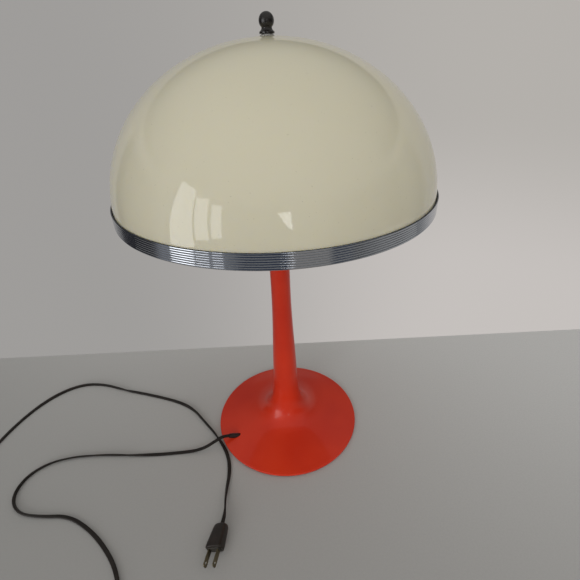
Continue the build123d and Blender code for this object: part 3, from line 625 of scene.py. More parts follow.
# ---------------------------------------------------------------- plug
# A flat two-blade plug moulded in dark brown, wider towards the blades, with a softer core in its front
# face that holds two dull brass blades. It lies rolled over on the table.
plug_roll = math.radians(22.0)
plug_length = 29.4 * mm
core_half = (8.7 * mm, 4.4 * mm)
core_proud = 1.0 * mm
blade_width = 6.35 * mm
blade_thickness = 1.5 * mm
blade_spacing = 12.7 * mm
blade_length = 18.3 * mm
blade_root = 6.0 * mm
blade_hole = 1.6 * mm
hole_from_tip = 4.3 * mm
plug_sections = [  # how far along, half width, half thickness and squareness
    (0.0, 4.6, 3.0, 2.3),
    (0.25, 6.3, 3.9, 2.4),
    (0.9, 7.9, 4.8, 2.5),
    (2.0, 8.9, 5.4, 2.6),
    (4.0, 9.6, 5.85, 2.7),
    (9.0, 10.2, 6.2, 2.8),
    (16.0, 10.95, 6.6, 2.9),
    (23.0, 11.6, 7.0, 3.0),
    (27.8, 11.9, 7.15, 3.0),
    (28.9, 11.8, 7.05, 3.0),
    (29.4, 11.3, 6.6, 3.0),
    (29.35, 9.2, 4.9, 3.6),
    (28.9, 8.9, 4.6, 4.0),
    (19.5, 8.8, 4.5, 4.0),
]


def lofted(name, sections, place, around=64, sharp=45.0):
    """A closed skin over rounded sections, each (how far along, half width, half thickness, squareness)."""
    form = bmesh.new()
    rings = [[form.verts.new((0.0, 0.0, sections[0][0]))] * around]
    for along, width, thickness, square in sections:
        ring = []
        for x, y in ring_of(1.0, around):
            stretch = (abs(x) ** square + abs(y) ** square) ** (-1 / square)
            ring.append(form.verts.new((x * stretch * width, y * stretch * thickness, along)))
        rings.append(ring)
    rings.append([form.verts.new((0.0, 0.0, sections[-1][0]))] * around)
    skin(form, rings)
    return finished(name, form, place, sharp)


def stamped(name, edges, thickness, place, ease, sharp=30.0):
    """A flat plate from closed loops of points, the outer edge and any holes, with eased edges."""
    form = bmesh.new()
    for loop in edges:
        corners = [form.verts.new((x, y, 0.0)) for x, y in loop]
        for i, corner in enumerate(corners):
            form.edges.new((corner, corners[(i + 1) % len(corners)]))
    filled = bmesh.ops.triangle_fill(form, edges=form.edges, use_beauty=True, use_dissolve=True)
    faces = [face for face in filled["geom"] if isinstance(face, bmesh.types.BMFace)]
    raised = bmesh.ops.extrude_face_region(form, geom=faces, use_keep_orig=True)
    tops = [vertex for vertex in raised["geom"] if isinstance(vertex, bmesh.types.BMVert)]
    bmesh.ops.translate(form, vec=(0, 0, thickness), verts=tops)
    plate = finished(name, form, place, sharp)
    edge = plate.modifiers.new("eased edge", "BEVEL")
    edge.width = ease
    edge.segments = 3
    edge.limit_method = "ANGLE"
    edge.angle_limit = math.radians(40.0)
    plain(plate)
    plate.data.set_sharp_from_angle(angle=math.radians(sharp))
    return plate


def joined(name, pieces):
    """Several solids as one piece."""
    form = bmesh.new()
    for piece in pieces:
        form.from_mesh(piece.data)
        bpy.data.objects.remove(piece)
    return finished(name, form)


level_side = upright.cross(plug_axis)
wide_side = level_side * math.cos(plug_roll) + upright * math.sin(plug_roll)
plug_frame = placed(Vector(plug_place) * mm, wide_side, plug_axis.cross(wide_side), plug_axis)

plug_brown = moulded("brown_plug", (0.016, 0.010, 0.007, 1.0), (0.030, 0.019, 0.014, 1.0), 0.34)
plug = lofted("plug_body", [(a * mm, w * mm, t * mm, s) for a, w, t, s in plug_sections], plug_frame)
fit(plug, "lamp", "brown_plug", plug_brown, "plug_shell")

core_sections = [
    (19.6 * mm, *core_half, 4.0),
    (plug_length + 0.5 * core_proud, *core_half, 4.0),
    (plug_length + core_proud, core_half[0] - 0.5 * mm, core_half[1] - 0.5 * mm, 3.6),
]
core_plastic = moulded("grey_plug_core", (0.030, 0.026, 0.020, 1.0), (0.055, 0.047, 0.036, 1.0), 0.45)
plug_core = lofted("plug_core_block", core_sections, plug_frame)
fit(plug_core, "lamp", "grey_plug_core", core_plastic, "plug_core")

blade_start = plug_length - blade_root
blade_end = plug_length + core_proud + blade_length
blade_half = blade_width / 2
blade_side = [
    (blade_half, blade_start),
    (blade_half, blade_end - 1.6 * mm),
    (blade_half - 0.45 * mm, blade_end - 0.5 * mm),
    (blade_half - 1.3 * mm, blade_end),
]
blade_edge = blade_side + [(-x, y) for x, y in reversed(blade_side)]
blade_loops = [blade_edge, ring_of(blade_hole, 24, (0.0, blade_end - hole_from_tip))]
blade_brass = metal("plug_brass", (0.20, 0.17, 0.11, 1.0), (0.08, 0.07, 0.05, 1.0), 0.36, tarnish=0.8)
blades = []
for side in (-1, 1):
    across = ((side * blade_spacing - blade_thickness) / 2, 0, 0)
    on_edge = plug_frame @ placed(across, (0, 1, 0), (0, 0, 1), (1, 0, 0))
    blades.append(stamped("blade", blade_loops, blade_thickness, on_edge, 0.3 * mm))
blades = joined("plug_blade_pair", blades)
fit(blades, "lamp", "plug_brass", blade_brass, "plug_blades")

# ---------------------------------------------------------------- cap on the stem, saddle and harp
# The stem is closed by a turned cap in the same enamel. A brass-plated saddle is clamped on it by a nut,
# and the bent wire harp stands on the saddle's pins, locked by two knurled ferrules, with the shade's seat
# on its top.
saddle_bottom = stem_top + 3.0 * mm
saddle_thickness = 1.6 * mm
saddle_top = saddle_bottom + saddle_thickness
saddle_half_span = 24.0 * mm
saddle_half_width = 6.0 * mm
pin_radius = 1.6 * mm
pin_height = 13.0 * mm
pipe_radius = 5.05 * mm
pipe_hole = pipe_radius + 0.05 * mm
stem_cap_radius = 14.6 * mm
stem_cap_plug = 6.0 * mm
lock_nut_flats = 13.0 * mm
lock_nut_thickness = 3.5 * mm
harp_seat = saddle_bottom + 178.0 * mm
harp_wire_radius = 1.9 * mm
harp_foot_radius = 3.0 * mm
harp_foot_length = 16.0 * mm
harp_straight = 28.0 * mm
harp_spread = 34.0 * mm
harp_half_width = 54.0 * mm
harp_top_half_width = 16.0 * mm
harp_shoulder_drop = 62.0 * mm
harp_bends = [16.0 * mm, 22.0 * mm, 34.0 * mm, 12.0 * mm]
ferrule_radius = 4.3 * mm
ferrule_length = 10.0 * mm
ferrule_bore = 3.1 * mm
knurl_low = 1.5 * mm
knurl_high = 6.5 * mm
knurl_depth = 0.22 * mm
knurl_ridges = 28.0
seat_radius = 9.5 * mm
seat_thickness = 1.2 * mm
hub_radius = 5.5 * mm
stud_radius = 3.1 * mm


def rolled_pattern():
    """Rings, a thread or flutes, rolled into the wall of a turned piece between two heights."""
    shape = Shape("rolled_pattern")
    low, high = shape.size("Low"), shape.size("High")
    inner = shape.size("Inner Radius")
    pitch, around = shape.size("Pitch"), shape.size("Around")
    depth, bluntness = shape.size("Depth"), shape.size("Bluntness")
    x, y, z = shape.axes_of(shape.node("GeometryNodeInputPosition"))
    phase = (z - low) / pitch + around * shape.math("ARCTAN2", y, x) / math.tau
    wave = abs(shape.math("SINE", phase * math.pi)) ** bluntness
    radius = shape.math("SQRT", x * x + y * y)
    outside = shape.math("GREATER_THAN", radius, inner)
    above = shape.math("GREATER_THAN", z, low)
    below = shape.math("LESS_THAN", z, high)
    cut = 1.0 - depth * (1.0 - wave) / radius
    share = outside * above * below
    scale = 1.0 - share * (1.0 - cut)
    moved = shape.node("ShaderNodeCombineXYZ", None, {"X": x * scale, "Y": y * scale, "Z": z})
    rolled = shape.node("GeometryNodeSetPosition", None, {"Geometry": shape.geometry, "Position": moved})
    return shape.end(rolled)


pattern = rolled_pattern()


def patterned(piece, finish, place=Matrix.Identity(4), sharp=crease, **sizes):
    """Rolls the pattern into a piece that was turned about Z, then puts it in its place."""
    shaped(piece, pattern, finish, **sizes)
    piece.data.transform(place)
    piece.data.shade_smooth()
    piece.data.set_sharp_from_angle(angle=math.radians(sharp))
    return piece


def wall(radius, low, high, rows):
    """Points up a straight wall, close enough together to take a pattern."""
    return [(radius, low + (high - low) * i / rows) for i in range(rows + 1)]


def bent(route, bends, steps=10):
    """The route with an arc of each bend's radius at its corners."""
    line = [Vector(route[0])]
    for before, corner, after, radius in zip(route, route[1:], route[2:], bends):
        corner = Vector(corner)
        come, go = (corner - Vector(before)).normalized(), (Vector(after) - corner).normalized()
        half = come.angle(go) / 2
        centre = corner + (go - come).normalized() * radius / math.cos(half)
        start = corner - come * radius * math.tan(half)
        normal = come.cross(go).normalized()
        for i in range(steps + 1):
            line.append(centre + Matrix.Rotation(2 * half * i / steps, 3, normal) @ (start - centre))
    return line + [Vector(route[-1])]


def drawn(name, line, radii, around=24, sharp=40.0):
    """A round rod along a line in the XZ plane, with its radius at each point, closed at both ends."""
    form = bmesh.new()
    rings = []
    normal = Vector((0, 1, 0))
    circle = ring_of(1.0, around)
    for i, point in enumerate(line):
        along = (line[min(i + 1, len(line) - 1)] - line[max(i - 1, 0)]).normalized()
        side = normal.cross(along).normalized()
        lift = along.cross(side)
        rings.append([form.verts.new(point + (side * x + lift * y) * radii[i]) for x, y in circle])
    skin(form, rings)
    form.faces.new(rings[0])
    form.faces.new(rings[-1])
    return finished(name, form, sharp=sharp)


stem_cap_outline = eased(
    [
        (pipe_hole, stem_top - stem_cap_plug),
        (stem_bore - 0.3 * mm, stem_top - stem_cap_plug, 0.5 * mm),
        (stem_bore - 0.3 * mm, stem_top),
        (stem_cap_radius, stem_top, 0.4 * mm),
        (stem_cap_radius, saddle_bottom - 1.5 * mm, 0.8 * mm),
        (stem_cap_radius - 1.5 * mm, saddle_bottom, 0.8 * mm),
        (pipe_hole, saddle_bottom),
    ]
)
fit(turned("stem_cap_disc", stem_cap_outline, 96), "lamp", "orange_enamel", orange_enamel, "stem_cap")

brass_plate = metal("brass_plate", (0.78, 0.60, 0.30, 1.0), (0.46, 0.34, 0.17, 1.0), 0.20)
half_turn = [math.pi * i / 20 for i in range(21)]
saddle_end = [
    (saddle_half_span + saddle_half_width * math.sin(a), -saddle_half_width * math.cos(a))
    for a in half_turn
]
saddle_edge = saddle_end + [(-x, -y) for x, y in saddle_end]
under_saddle, on_saddle = (Matrix.Translation((0, 0, height)) for height in (saddle_bottom, saddle_top))
saddle_loops = [saddle_edge, ring_of(pipe_hole)]
saddle_parts = [stamped("saddle", saddle_loops, saddle_thickness, under_saddle, 0.4 * mm)]
pin_top = saddle_top + pin_height
pin = [(0, saddle_top), (pin_radius, saddle_top), (pin_radius, pin_top), (0, pin_top)]
for side in (-1, 1):
    saddle_parts.append(turned("pin", pin, 24, Matrix.Translation((side * saddle_half_span, 0, 0))))
fit(joined("saddle_plate", saddle_parts), "lamp", "brass_plate", brass_plate, "harp_saddle")

hexagon = ring_of(lock_nut_flats / 2 / math.cos(math.pi / 6), 6)
lock_nut = stamped("hexagon_nut", [hexagon, ring_of(pipe_hole)], lock_nut_thickness, on_saddle, 0.5 * mm)
fit(lock_nut, "lamp", "brass_plate", brass_plate, "lock_nut")

hub_top = harp_seat - seat_thickness
wire_top = hub_top - 0.6 * mm - harp_wire_radius
right_leg = [
    (saddle_half_span, 0, saddle_top),
    (saddle_half_span, 0, saddle_top + harp_straight),
    (harp_half_width, 0, saddle_top + harp_straight + harp_spread),
    (harp_half_width, 0, wire_top - harp_shoulder_drop),
    (harp_top_half_width, 0, wire_top),
]
harp_route = right_leg + [(-x, y, z) for x, y, z in reversed(right_leg)]
bends = bent(harp_route, harp_bends + harp_bends[::-1])
foot_top = saddle_top + harp_foot_length
foot_heights = (saddle_top, foot_top - 0.7 * mm, foot_top, foot_top + 0.1 * mm)
right_foot = [Vector((saddle_half_span, 0, height)) for height in foot_heights]
left_foot = [Vector((-point.x, 0, point.z)) for point in reversed(right_foot)]
harp_line = right_foot + bends[1:-1] + left_foot
foot_radii = [harp_foot_radius, harp_foot_radius, harp_foot_radius - 0.5 * mm, harp_wire_radius]
harp_radii = foot_radii + [harp_wire_radius] * len(bends[1:-1]) + foot_radii[::-1]
harp = drawn("harp_wire", harp_line, harp_radii)
fit(harp, "lamp", "brass_plate", brass_plate, "harp_loop")

ferrule_neck = ferrule_radius - 0.35 * mm
ferrule_outline = eased(
    [
        (ferrule_bore, 0.0),
        (ferrule_radius, 0.0, 0.5 * mm),
        *wall(ferrule_radius, knurl_low + 0.1 * mm, knurl_high - 0.1 * mm, 2),
        (ferrule_radius, 7.4 * mm, 0.3 * mm),
        (ferrule_neck, 7.8 * mm, 0.2 * mm),
        (ferrule_neck, ferrule_length, 0.9 * mm),
        (ferrule_bore, ferrule_length, 0.2 * mm),
    ]
)
for side, name in ((-1, "left"), (1, "right")):
    ferrule = turned(name + "_ferrule", ferrule_outline, 168)
    patterned(
        ferrule,
        brass_plate,
        Matrix.Translation((side * saddle_half_span, 0, saddle_top)),
        Low=knurl_low,
        High=knurl_high,
        Inner_Radius=ferrule_radius - 0.1 * mm,
        Pitch=1.0,
        Around=knurl_ridges,
        Depth=knurl_depth,
        Bluntness=0.8,
    )
    fit(ferrule, name + "_ferrule", "brass_plate", brass_plate, "harp_ferrule_" + name)

hub_bottom = wire_top - harp_wire_radius - 0.8 * mm
stud_top = harp_seat + 14.2 * mm
stud_outline = eased(
    [
        (0, hub_bottom),
        (hub_radius, hub_bottom, 0.8 * mm),
        (hub_radius, hub_top),
        (seat_radius, hub_top, 0.5 * mm),
        (seat_radius, harp_seat, 0.2 * mm),
        (stud_radius, harp_seat),
        (stud_radius, stud_top, 0.5 * mm),
        (0, stud_top),
    ],
    closed=False,
)
fit(turned("shade_seat_and_stud", stud_outline, 72), "lamp", "brass_plate", brass_plate, "harp_stud")

# ---------------------------------------------------------------- lampholder
# A pressed brass lampholder: a rounded cap screwed on the pipe, and a shell with rolled beads snapped into
# it. Inside are a card sleeve, a black moulded body, a threaded shell and the contacts.
socket_bottom = saddle_top + lock_nut_thickness
socket_top = socket_bottom + 58.0 * mm
neck_radius = 7.2 * mm
cup_bottom = socket_bottom + 3.0 * mm
shoulder_top = cup_bottom + 11.0 * mm
cup_radius = 18.4 * mm
cup_top = socket_bottom + 23.0 * mm
metal_wall = 0.7 * mm
shell_bottom = cup_top - 5.5 * mm
shell_radius = 17.3 * mm
shell_lip = 1.5 * mm
body_bottom = shell_bottom + 1.5 * mm
body_top = body_bottom + 15.5 * mm
shaft_height = body_bottom + 9.3 * mm
screw_bore = 13.45 * mm
screw_wall = 0.5 * mm
screw_rows = 40
neck_wall = 1.6 * mm
neck_height = 8.0 * mm
shaft_hole = 3.2 * mm
card_gap = 0.3 * mm
card_wall = 0.6 * mm
bead = 0.45 * mm
bead_half_width = 1.1 * mm
thread_pitch = 25.4 / 7 * mm

socket_brass = metal("socket_brass", (0.83, 0.64, 0.31, 1.0), (0.50, 0.36, 0.17, 1.0), 0.15)
cap_side = flowing(
    [
        (neck_radius, cup_bottom),
        (13.4 * mm, cup_bottom + 3.0 * mm),
        (17.6 * mm, cup_bottom + 7.4 * mm),
        (cup_radius, shoulder_top),
    ],
    (1.0, 0.25),
    (0.0, 1.0),
    count=8,
)
cap_inside = [point for point in beside(cap_side, metal_wall)[::-1] if point[0] > neck_radius]
cap_outline = (
    [(pipe_hole, socket_bottom + neck_height), (pipe_hole, socket_bottom), (neck_radius, socket_bottom)]
    + cap_side
    + eased(
        [
            (cup_radius, shoulder_top),
            (cup_radius, cup_top - 3.0 * mm, 0.5 * mm),
            (cup_radius, cup_top, 0.5 * mm),
            (cup_radius - metal_wall, cup_top, 0.2 * mm),
            (cup_radius - metal_wall, shoulder_top),
        ],
        closed=False,
    )[1:-1]
    + cap_inside
    + [(neck_radius, cup_bottom + neck_wall), (neck_radius, socket_bottom + neck_height)]
)
fit(turned("lampholder_cap", cap_outline, 96), "lamp", "socket_brass", socket_brass, "socket_cap")

shell_bore = shell_radius - metal_wall


def beaded(radius, low, beads):
    """A pressed wall with shallow round beads at these heights."""
    line = [(radius, low)]
    for middle in beads:
        for i in range(9):
            angle = math.pi * i / 8
            line.append((radius - bead * math.sin(angle), middle - bead_half_width * math.cos(angle)))
    return line


beads = [cup_top + 3.0 * mm, socket_top - 7.0 * mm, socket_top - 3.6 * mm]
shell_outline = beaded(shell_radius, shell_bottom, beads) + eased(
    [
        (shell_radius, socket_top - 1.4 * mm),
        (shell_radius, socket_top, 0.6 * mm),
        (shell_bore - shell_lip, socket_top, 0.2 * mm),
        (shell_bore - shell_lip, socket_top - metal_wall, 0.2 * mm),
        (shell_bore, socket_top - metal_wall, 0.5 * mm),
        (shell_bore, shell_bottom),
    ],
    closed=False,
)
socket_shell = turned("lampholder_shell", shell_outline, 128)
front = aimed((0, -shell_radius, shaft_height), (0, -1, 0))
pierced(socket_shell, front, shaft_hole, 4 * mm)
fit(socket_shell, "lamp", "socket_brass", socket_brass, "socket_shell")

card_radius = shell_bore - card_gap
card_top = socket_top - metal_wall - card_gap
card_outline = [
    (card_radius - card_wall, body_bottom),
    (card_radius, body_bottom),
    (card_radius, card_top),
    (card_radius - card_wall, card_top),
]
card = moulded("card", (0.33, 0.23, 0.12, 1.0), (0.42, 0.31, 0.18, 1.0), 0.75, grain=1800.0, depth=0.08)
card_sleeve = turned("card_sleeve", card_outline, 96)
pierced(card_sleeve, front, shaft_hole, 4 * mm)
fit(card_sleeve, "lamp", "card", card, "socket_sleeve")

thread_metal = metal("screw_metal", (0.80, 0.80, 0.78, 1.0), (0.52, 0.51, 0.49, 1.0), 0.24)
screw_top = socket_top - 2.0 * mm
thread_outline = [
    (9.0 * mm, body_top),
    *wall(screw_bore + screw_wall, body_top, screw_top, screw_rows),
    *wall(screw_bore, body_top + screw_wall, screw_top, screw_rows)[::-1],
    (9.0 * mm, body_top + screw_wall),
]
screw_shell = turned("threaded_shell", thread_outline, 96)
patterned(
    screw_shell,
    thread_metal,
    Low=body_top + 1.0 * mm,
    High=screw_top - 0.4 * mm,
    Inner_Radius=screw_bore - 0.1 * mm,
    Pitch=thread_pitch,
    Around=-1.0,
    Depth=-0.12 * mm,
    Bluntness=1.6,
)
fit(screw_shell, "lamp", "screw_metal", thread_metal, "screw_shell")

moulding_black = (0.012, 0.011, 0.011, 1.0)
moulding_worn = (0.028, 0.026, 0.025, 1.0)
black_moulding = moulded("black_moulding", moulding_black, moulding_worn, 0.22, coat=0.4)
contact_brass = metal("contact_brass", (0.74, 0.56, 0.27, 1.0), (0.44, 0.32, 0.16, 1.0), 0.28)
repaint(black_moulding, "socket_body")
repaint(contact_brass, "centre_contact", "terminal_screws")

# ---------------------------------------------------------------- switch knob
# A small black moulded knob with twelve flutes, pressed on a brass shaft that comes out of the front of the
# shell.
knob_radius = 6.5 * mm
knob_start = shell_radius + 3.0 * mm
knob_length = 15.0 * mm
knob_flutes = 12.0
flute_depth = 0.75 * mm
shaft_radius = 2.0 * mm
shaft_start = 4.0 * mm
shaft_end = 26.0 * mm

shaft_outline = eased(
    [(0, shaft_start), (shaft_radius, shaft_start), (shaft_radius, shaft_end, 0.4 * mm), (0, shaft_end)],
    closed=False,
)
towards_front = aimed((0, 0, shaft_height), (0, -1, 0))
shaft = turned("knob_shaft", shaft_outline, 32, towards_front)
fit(shaft, "switch", "contact_brass", contact_brass, "switch_shaft")

knob_end = knob_start + knob_length
knob_bore = shaft_radius + 0.02 * mm
knob_foot = knob_radius - 0.6 * mm
knob_outline = eased(
    [
        (knob_bore, knob_start),
        (knob_foot, knob_start, 0.3 * mm),
        (knob_foot, knob_start + 1.8 * mm, 0.3 * mm),
        (knob_radius, knob_start + 2.4 * mm, 0.3 * mm),
        (knob_radius, knob_end - 5 * mm),
        (knob_radius, knob_end - 0.2 * mm, 1.2 * mm),
        (knob_radius - 2.0 * mm, knob_end, 0.8 * mm),
        (knob_radius - 2.6 * mm, knob_end - 0.5 * mm, 0.4 * mm),
        (0, knob_end - 0.4 * mm),
        (0, shaft_end + 0.1 * mm),
        (knob_bore, shaft_end + 0.1 * mm),
    ],
    closed=False,
)
knob = turned("fluted_knob", knob_outline, 192)
patterned(
    knob,
    black_moulding,
    towards_front,
    Low=knob_start + 2.0 * mm,
    High=knob_end + 1.0 * mm,
    Inner_Radius=knob_radius - 1.5 * mm,
    Pitch=1.0,
    Around=knob_flutes,
    Depth=flute_depth,
    Bluntness=0.42,
)
fit(knob, "switch", "black_moulding", black_moulding, "switch_knob")

# ---------------------------------------------------------------- bulb
# A soft white round bulb: blown glass, white on its inside, cemented in a rolled aluminium screw base, with
# a black glass insulator and a soldered tip.
bulb_tip = body_top + 2.5 * mm
screw_low = bulb_tip + 5.2 * mm
screw_high = screw_low + 20.0 * mm
bulb_top = bulb_tip + 104.0 * mm
bulb_radius = 30.0 * mm
bulb_middle = bulb_top - bulb_radius
bulb_neck = 13.6 * mm
glass_wall = 0.9 * mm
neck_straight = 6.0 * mm
waist_swell = 7.5 * mm
waist_drop = 22.0 * mm
bulb_screw_radius = 13.15 * mm
screw_sheet = 0.4 * mm
screw_ease = 2.0 * mm
tip_radius = 4.8 * mm
tip_top = bulb_tip + 1.6 * mm


def frosted():
    """Soft white glass: smooth outside, white powder inside."""
    glass = Finish("white_glass")
    cloud = glass.noise(45.0, 2.0)
    return glass.surface(
        Base_Color=glass.mix(cloud, (0.88, 0.88, 0.85, 1.0), (0.93, 0.93, 0.91, 1.0)),
        Roughness=0.14 + cloud * 0.05,
        Subsurface_Weight=0.3,
        Subsurface_Radius=(4 * mm, 4 * mm, 3.6 * mm),
        Coat_Weight=0.6,
        Coat_Roughness=0.03,
    )


def bulb_side(depth):
    """The glass's side at this depth, from the neck up to the crown."""
    neck = bulb_neck - depth
    ball = bulb_radius - depth
    waist = [(neck, screw_high + neck_straight), (neck + waist_swell, bulb_middle - waist_drop)]
    quarter = np.linspace(0, math.pi / 2, 25)[1:-1]
    crown = [(ball * math.cos(a), bulb_middle + ball * math.sin(a)) for a in quarter]
    side = flowing(waist + [(ball, bulb_middle)], (0, 1), (0, 1), 12)
    return [(neck, screw_high)] + side + crown + [(0, bulb_middle + ball)]


bulb_glass = turned("bulb_globe", bulb_side(glass_wall)[::-1] + bulb_side(0.0), 96)
fit(bulb_glass, "bulb", "white_glass", frosted(), "bulb_glass")

bulb_base_outline = [
    (0, screw_low),
    (bulb_screw_radius - screw_ease, screw_low),
    *wall(bulb_screw_radius, screw_low + screw_ease, screw_high, 60),
    (bulb_screw_radius - screw_sheet, screw_high),
    (bulb_screw_radius - screw_sheet, screw_low + 2.2 * mm),
    (bulb_screw_radius - 2.2 * mm, screw_low + screw_sheet),
    (0, screw_low + screw_sheet),
]
bulb_base = turned("bulb_thread", bulb_base_outline, 96)
patterned(
    bulb_base,
    thread_metal,
    Low=screw_low + 2.4 * mm,
    High=screw_high - 3.2 * mm,
    Inner_Radius=bulb_screw_radius - 0.2 * mm,
    Pitch=thread_pitch,
    Around=-1.0,
    Depth=0.55 * mm,
    Bluntness=1.3,
)
fit(bulb_base, "bulb", "screw_metal", thread_metal, "bulb_screw_base")

black_glass = moulded("black_glass", (0.010, 0.010, 0.014, 1.0), (0.02, 0.02, 0.025, 1.0), 0.08, coat=0.8)
cone = [(0, tip_top), (5.4 * mm, tip_top), (bulb_screw_radius - screw_ease, screw_low), (0, screw_low)]
insulator = turned("bulb_insulator_cone", cone, 64)
fit(insulator, "bulb", "black_glass", black_glass, "bulb_insulator")
tip = eased(
    [(0, bulb_tip), (tip_radius, bulb_tip, 1.2 * mm), (tip_radius, tip_top), (0, tip_top)],
    closed=False,
)
fit(turned("bulb_solder_tip", tip, 48), "bulb_tip", "contact_brass", contact_brass, "bulb_contact")

# ---------------------------------------------------------------- shade
# The dome is blown from cream acrylic sheet: 3 mm thick, deep gloss on both sides, a little light passes
# through it. It has a few specks and hairline marks, and a straight skirt behind the chrome band.
dome_radius = 176.0 * mm
dome_wall = 3.0 * mm
dome_crown = harp_seat + 0.3 * mm + dome_wall
skirt_top = dome_crown - 151.6 * mm
dome_bottom = skirt_top - 7.0 * mm
crown_hole = 3.6 * mm
crown_flat = 11.0 * mm
cream = (0.800, 0.752, 0.575, 1.0)
cream_warm = (0.780, 0.728, 0.545, 1.0)


def acrylic():
    """Glossy cream acrylic with faint clouding, fine specks and a few hairline marks."""
    sheet = Finish("cream_acrylic")
    cloud = sheet.noise(7.0, 2.0)
    speck = sheet.between(sheet.noise(820.0, 1.0, 0.4), 0.775, 0.80)
    hairline = sheet.between(sheet.noise(34.0, 2.0, 0.5, stretch=(1.0, 6.0, 1.0)), 0.72, 0.75)
    swell = sheet.noise(16.0, 1.0)
    tint = sheet.mix(cloud, cream, cream_warm)
    return sheet.surface(
        Base_Color=sheet.mix(speck * 0.5, tint, (0.30, 0.26, 0.17, 1.0)),
        Roughness=0.03 + cloud * 0.03 + hairline * 0.08,
        Subsurface_Weight=0.3,
        Subsurface_Radius=(9 * mm, 8 * mm, 5 * mm),
        IOR=1.49,
        Normal=sheet.bump(swell, 0.5 * mm, 0.05),
    )


def dome_side(depth, last):
    """The ellipse at this depth under the dome's outside, from the skirt up to the crown's radius last."""
    across, rise = dome_radius - depth, dome_crown - skirt_top - depth
    end = math.acos(last / across)
    return [(across * math.cos(a), skirt_top + rise * math.sin(a)) for a in np.linspace(0, end, 90)]


edge_bevel, hole_bevel = 0.5 * mm, 0.3 * mm
dome_bore = dome_radius - dome_wall
dome_outline = (
    [(dome_radius - edge_bevel, dome_bottom), (dome_radius, dome_bottom + edge_bevel)]
    + dome_side(0.0, crown_hole + hole_bevel)
    + [(crown_hole, dome_crown - hole_bevel), (crown_hole, harp_seat), (crown_flat, harp_seat)]
    + dome_side(dome_wall, crown_flat + edge_bevel)[::-1]
    + [(dome_bore, dome_bottom + edge_bevel), (dome_bore + edge_bevel, dome_bottom)]
)
cream_acrylic = acrylic()
fit(turned("dome", dome_outline, turns=288), "shade", "cream_acrylic", cream_acrylic, "shade_dome")

# ---------------------------------------------------------------- chrome band
# A strip of chromed plastic moulding is bent round the rim of the dome. Seven fine half-round ribs run
# round it, and its lower edge turns in under the acrylic.
band_radius = 178.0 * mm
band_wall = 1.3 * mm
band_height = 15.0 * mm
band_bottom = dome_bottom - 0.8 * mm
band_top = band_bottom + band_height
band_ribs = 7
rib_depth = 0.5 * mm
rib_rows = 9
lip_radius = dome_radius - 3.4 * mm
crest_start = band_radius - 0.32 * mm
crest_end = band_radius - 0.10 * mm


def chrome():
    """Bright plated plastic: nearly mirror-like, with dust and faint clouding, and painted shade that colours
    the grooves between its ribs nearly black.
    """
    plate = Finish("chrome_band")
    cloud = plate.between(plate.noise(28.0, 3.0, 0.6), 0.42, 0.75)
    dust = plate.between(plate.noise(650.0, 3.0, 0.7), 0.58, 0.80)
    x, y, _ = plate.axes_of(plate.place)
    crest_over_groove_shade = plate.between((x * x + y * y) ** 0.5, crest_start, crest_end)
    bright = plate.mix(dust * 0.35, (0.50, 0.525, 0.57, 1.0), (0.34, 0.34, 0.35, 1.0))
    return plate.surface(
        # Painted shade: the base colour goes nearly black in the grooves between the ribs and stays bright
        # only on their crests.
        Base_Color=plate.mix(crest_over_groove_shade, (0.05, 0.055, 0.065, 1.0), bright),
        Metallic=1.0,
        Roughness=0.20 - crest_over_groove_shade * 0.15 + cloud * 0.04 + dust * 0.10,
    )


chrome_finish = chrome()
band_outline = [
    *wall(band_radius, band_bottom, band_top, band_ribs * rib_rows),
    (band_radius - band_wall, band_top),
    (band_radius - band_wall, dome_bottom),
    (lip_radius, dome_bottom),
    (lip_radius, band_bottom),
]
band = turned("ribbed_band", band_outline, turns=360)
patterned(
    band,
    chrome_finish,
    sharp=48.0,
    Low=band_bottom - 0.001 * mm,
    High=band_top + 0.01 * mm,
    Inner_Radius=band_radius - 0.3 * mm,
    Pitch=band_height / band_ribs,
    Around=0.0,
    Depth=rib_depth,
    Bluntness=0.15,
)
fit(band, "shade", "chrome_band", chrome_finish, "shade_band")

# ---------------------------------------------------------------- finial
# A turned metal finial in dark bronze lacquer screws on the stud: a flared foot, a short neck and a ball. A
# pale conical washer lies under it on the acrylic.
washer_radius = 6.7 * mm
washer_top_radius = 5.0 * mm
washer_top = dome_crown + 1.4 * mm
finial_top = washer_top + 17.7 * mm
ball_radius = 7.3 * mm
ball_middle = finial_top - ball_radius
finial_neck = 5.0 * mm
foot_radius = 7.3 * mm
foot_edge = washer_top + 1.6 * mm
stud_bore = 3.2 * mm
bore_top = washer_top + 10.0 * mm

washer_outline = eased(
    [
        (stud_bore, dome_crown),
        (washer_radius, dome_crown, 0.2 * mm),
        (washer_radius - 0.2 * mm, dome_crown + 0.4 * mm, 0.3 * mm),
        (washer_top_radius, washer_top, 0.3 * mm),
        (stud_bore, washer_top),
    ]
)
washer_grey = moulded("grey_washer", (0.50, 0.49, 0.46, 1.0), (0.60, 0.59, 0.55, 1.0), 0.38)
fit(turned("shade_washer", washer_outline, 64), "washer", "grey_washer", washer_grey, "finial_washer")

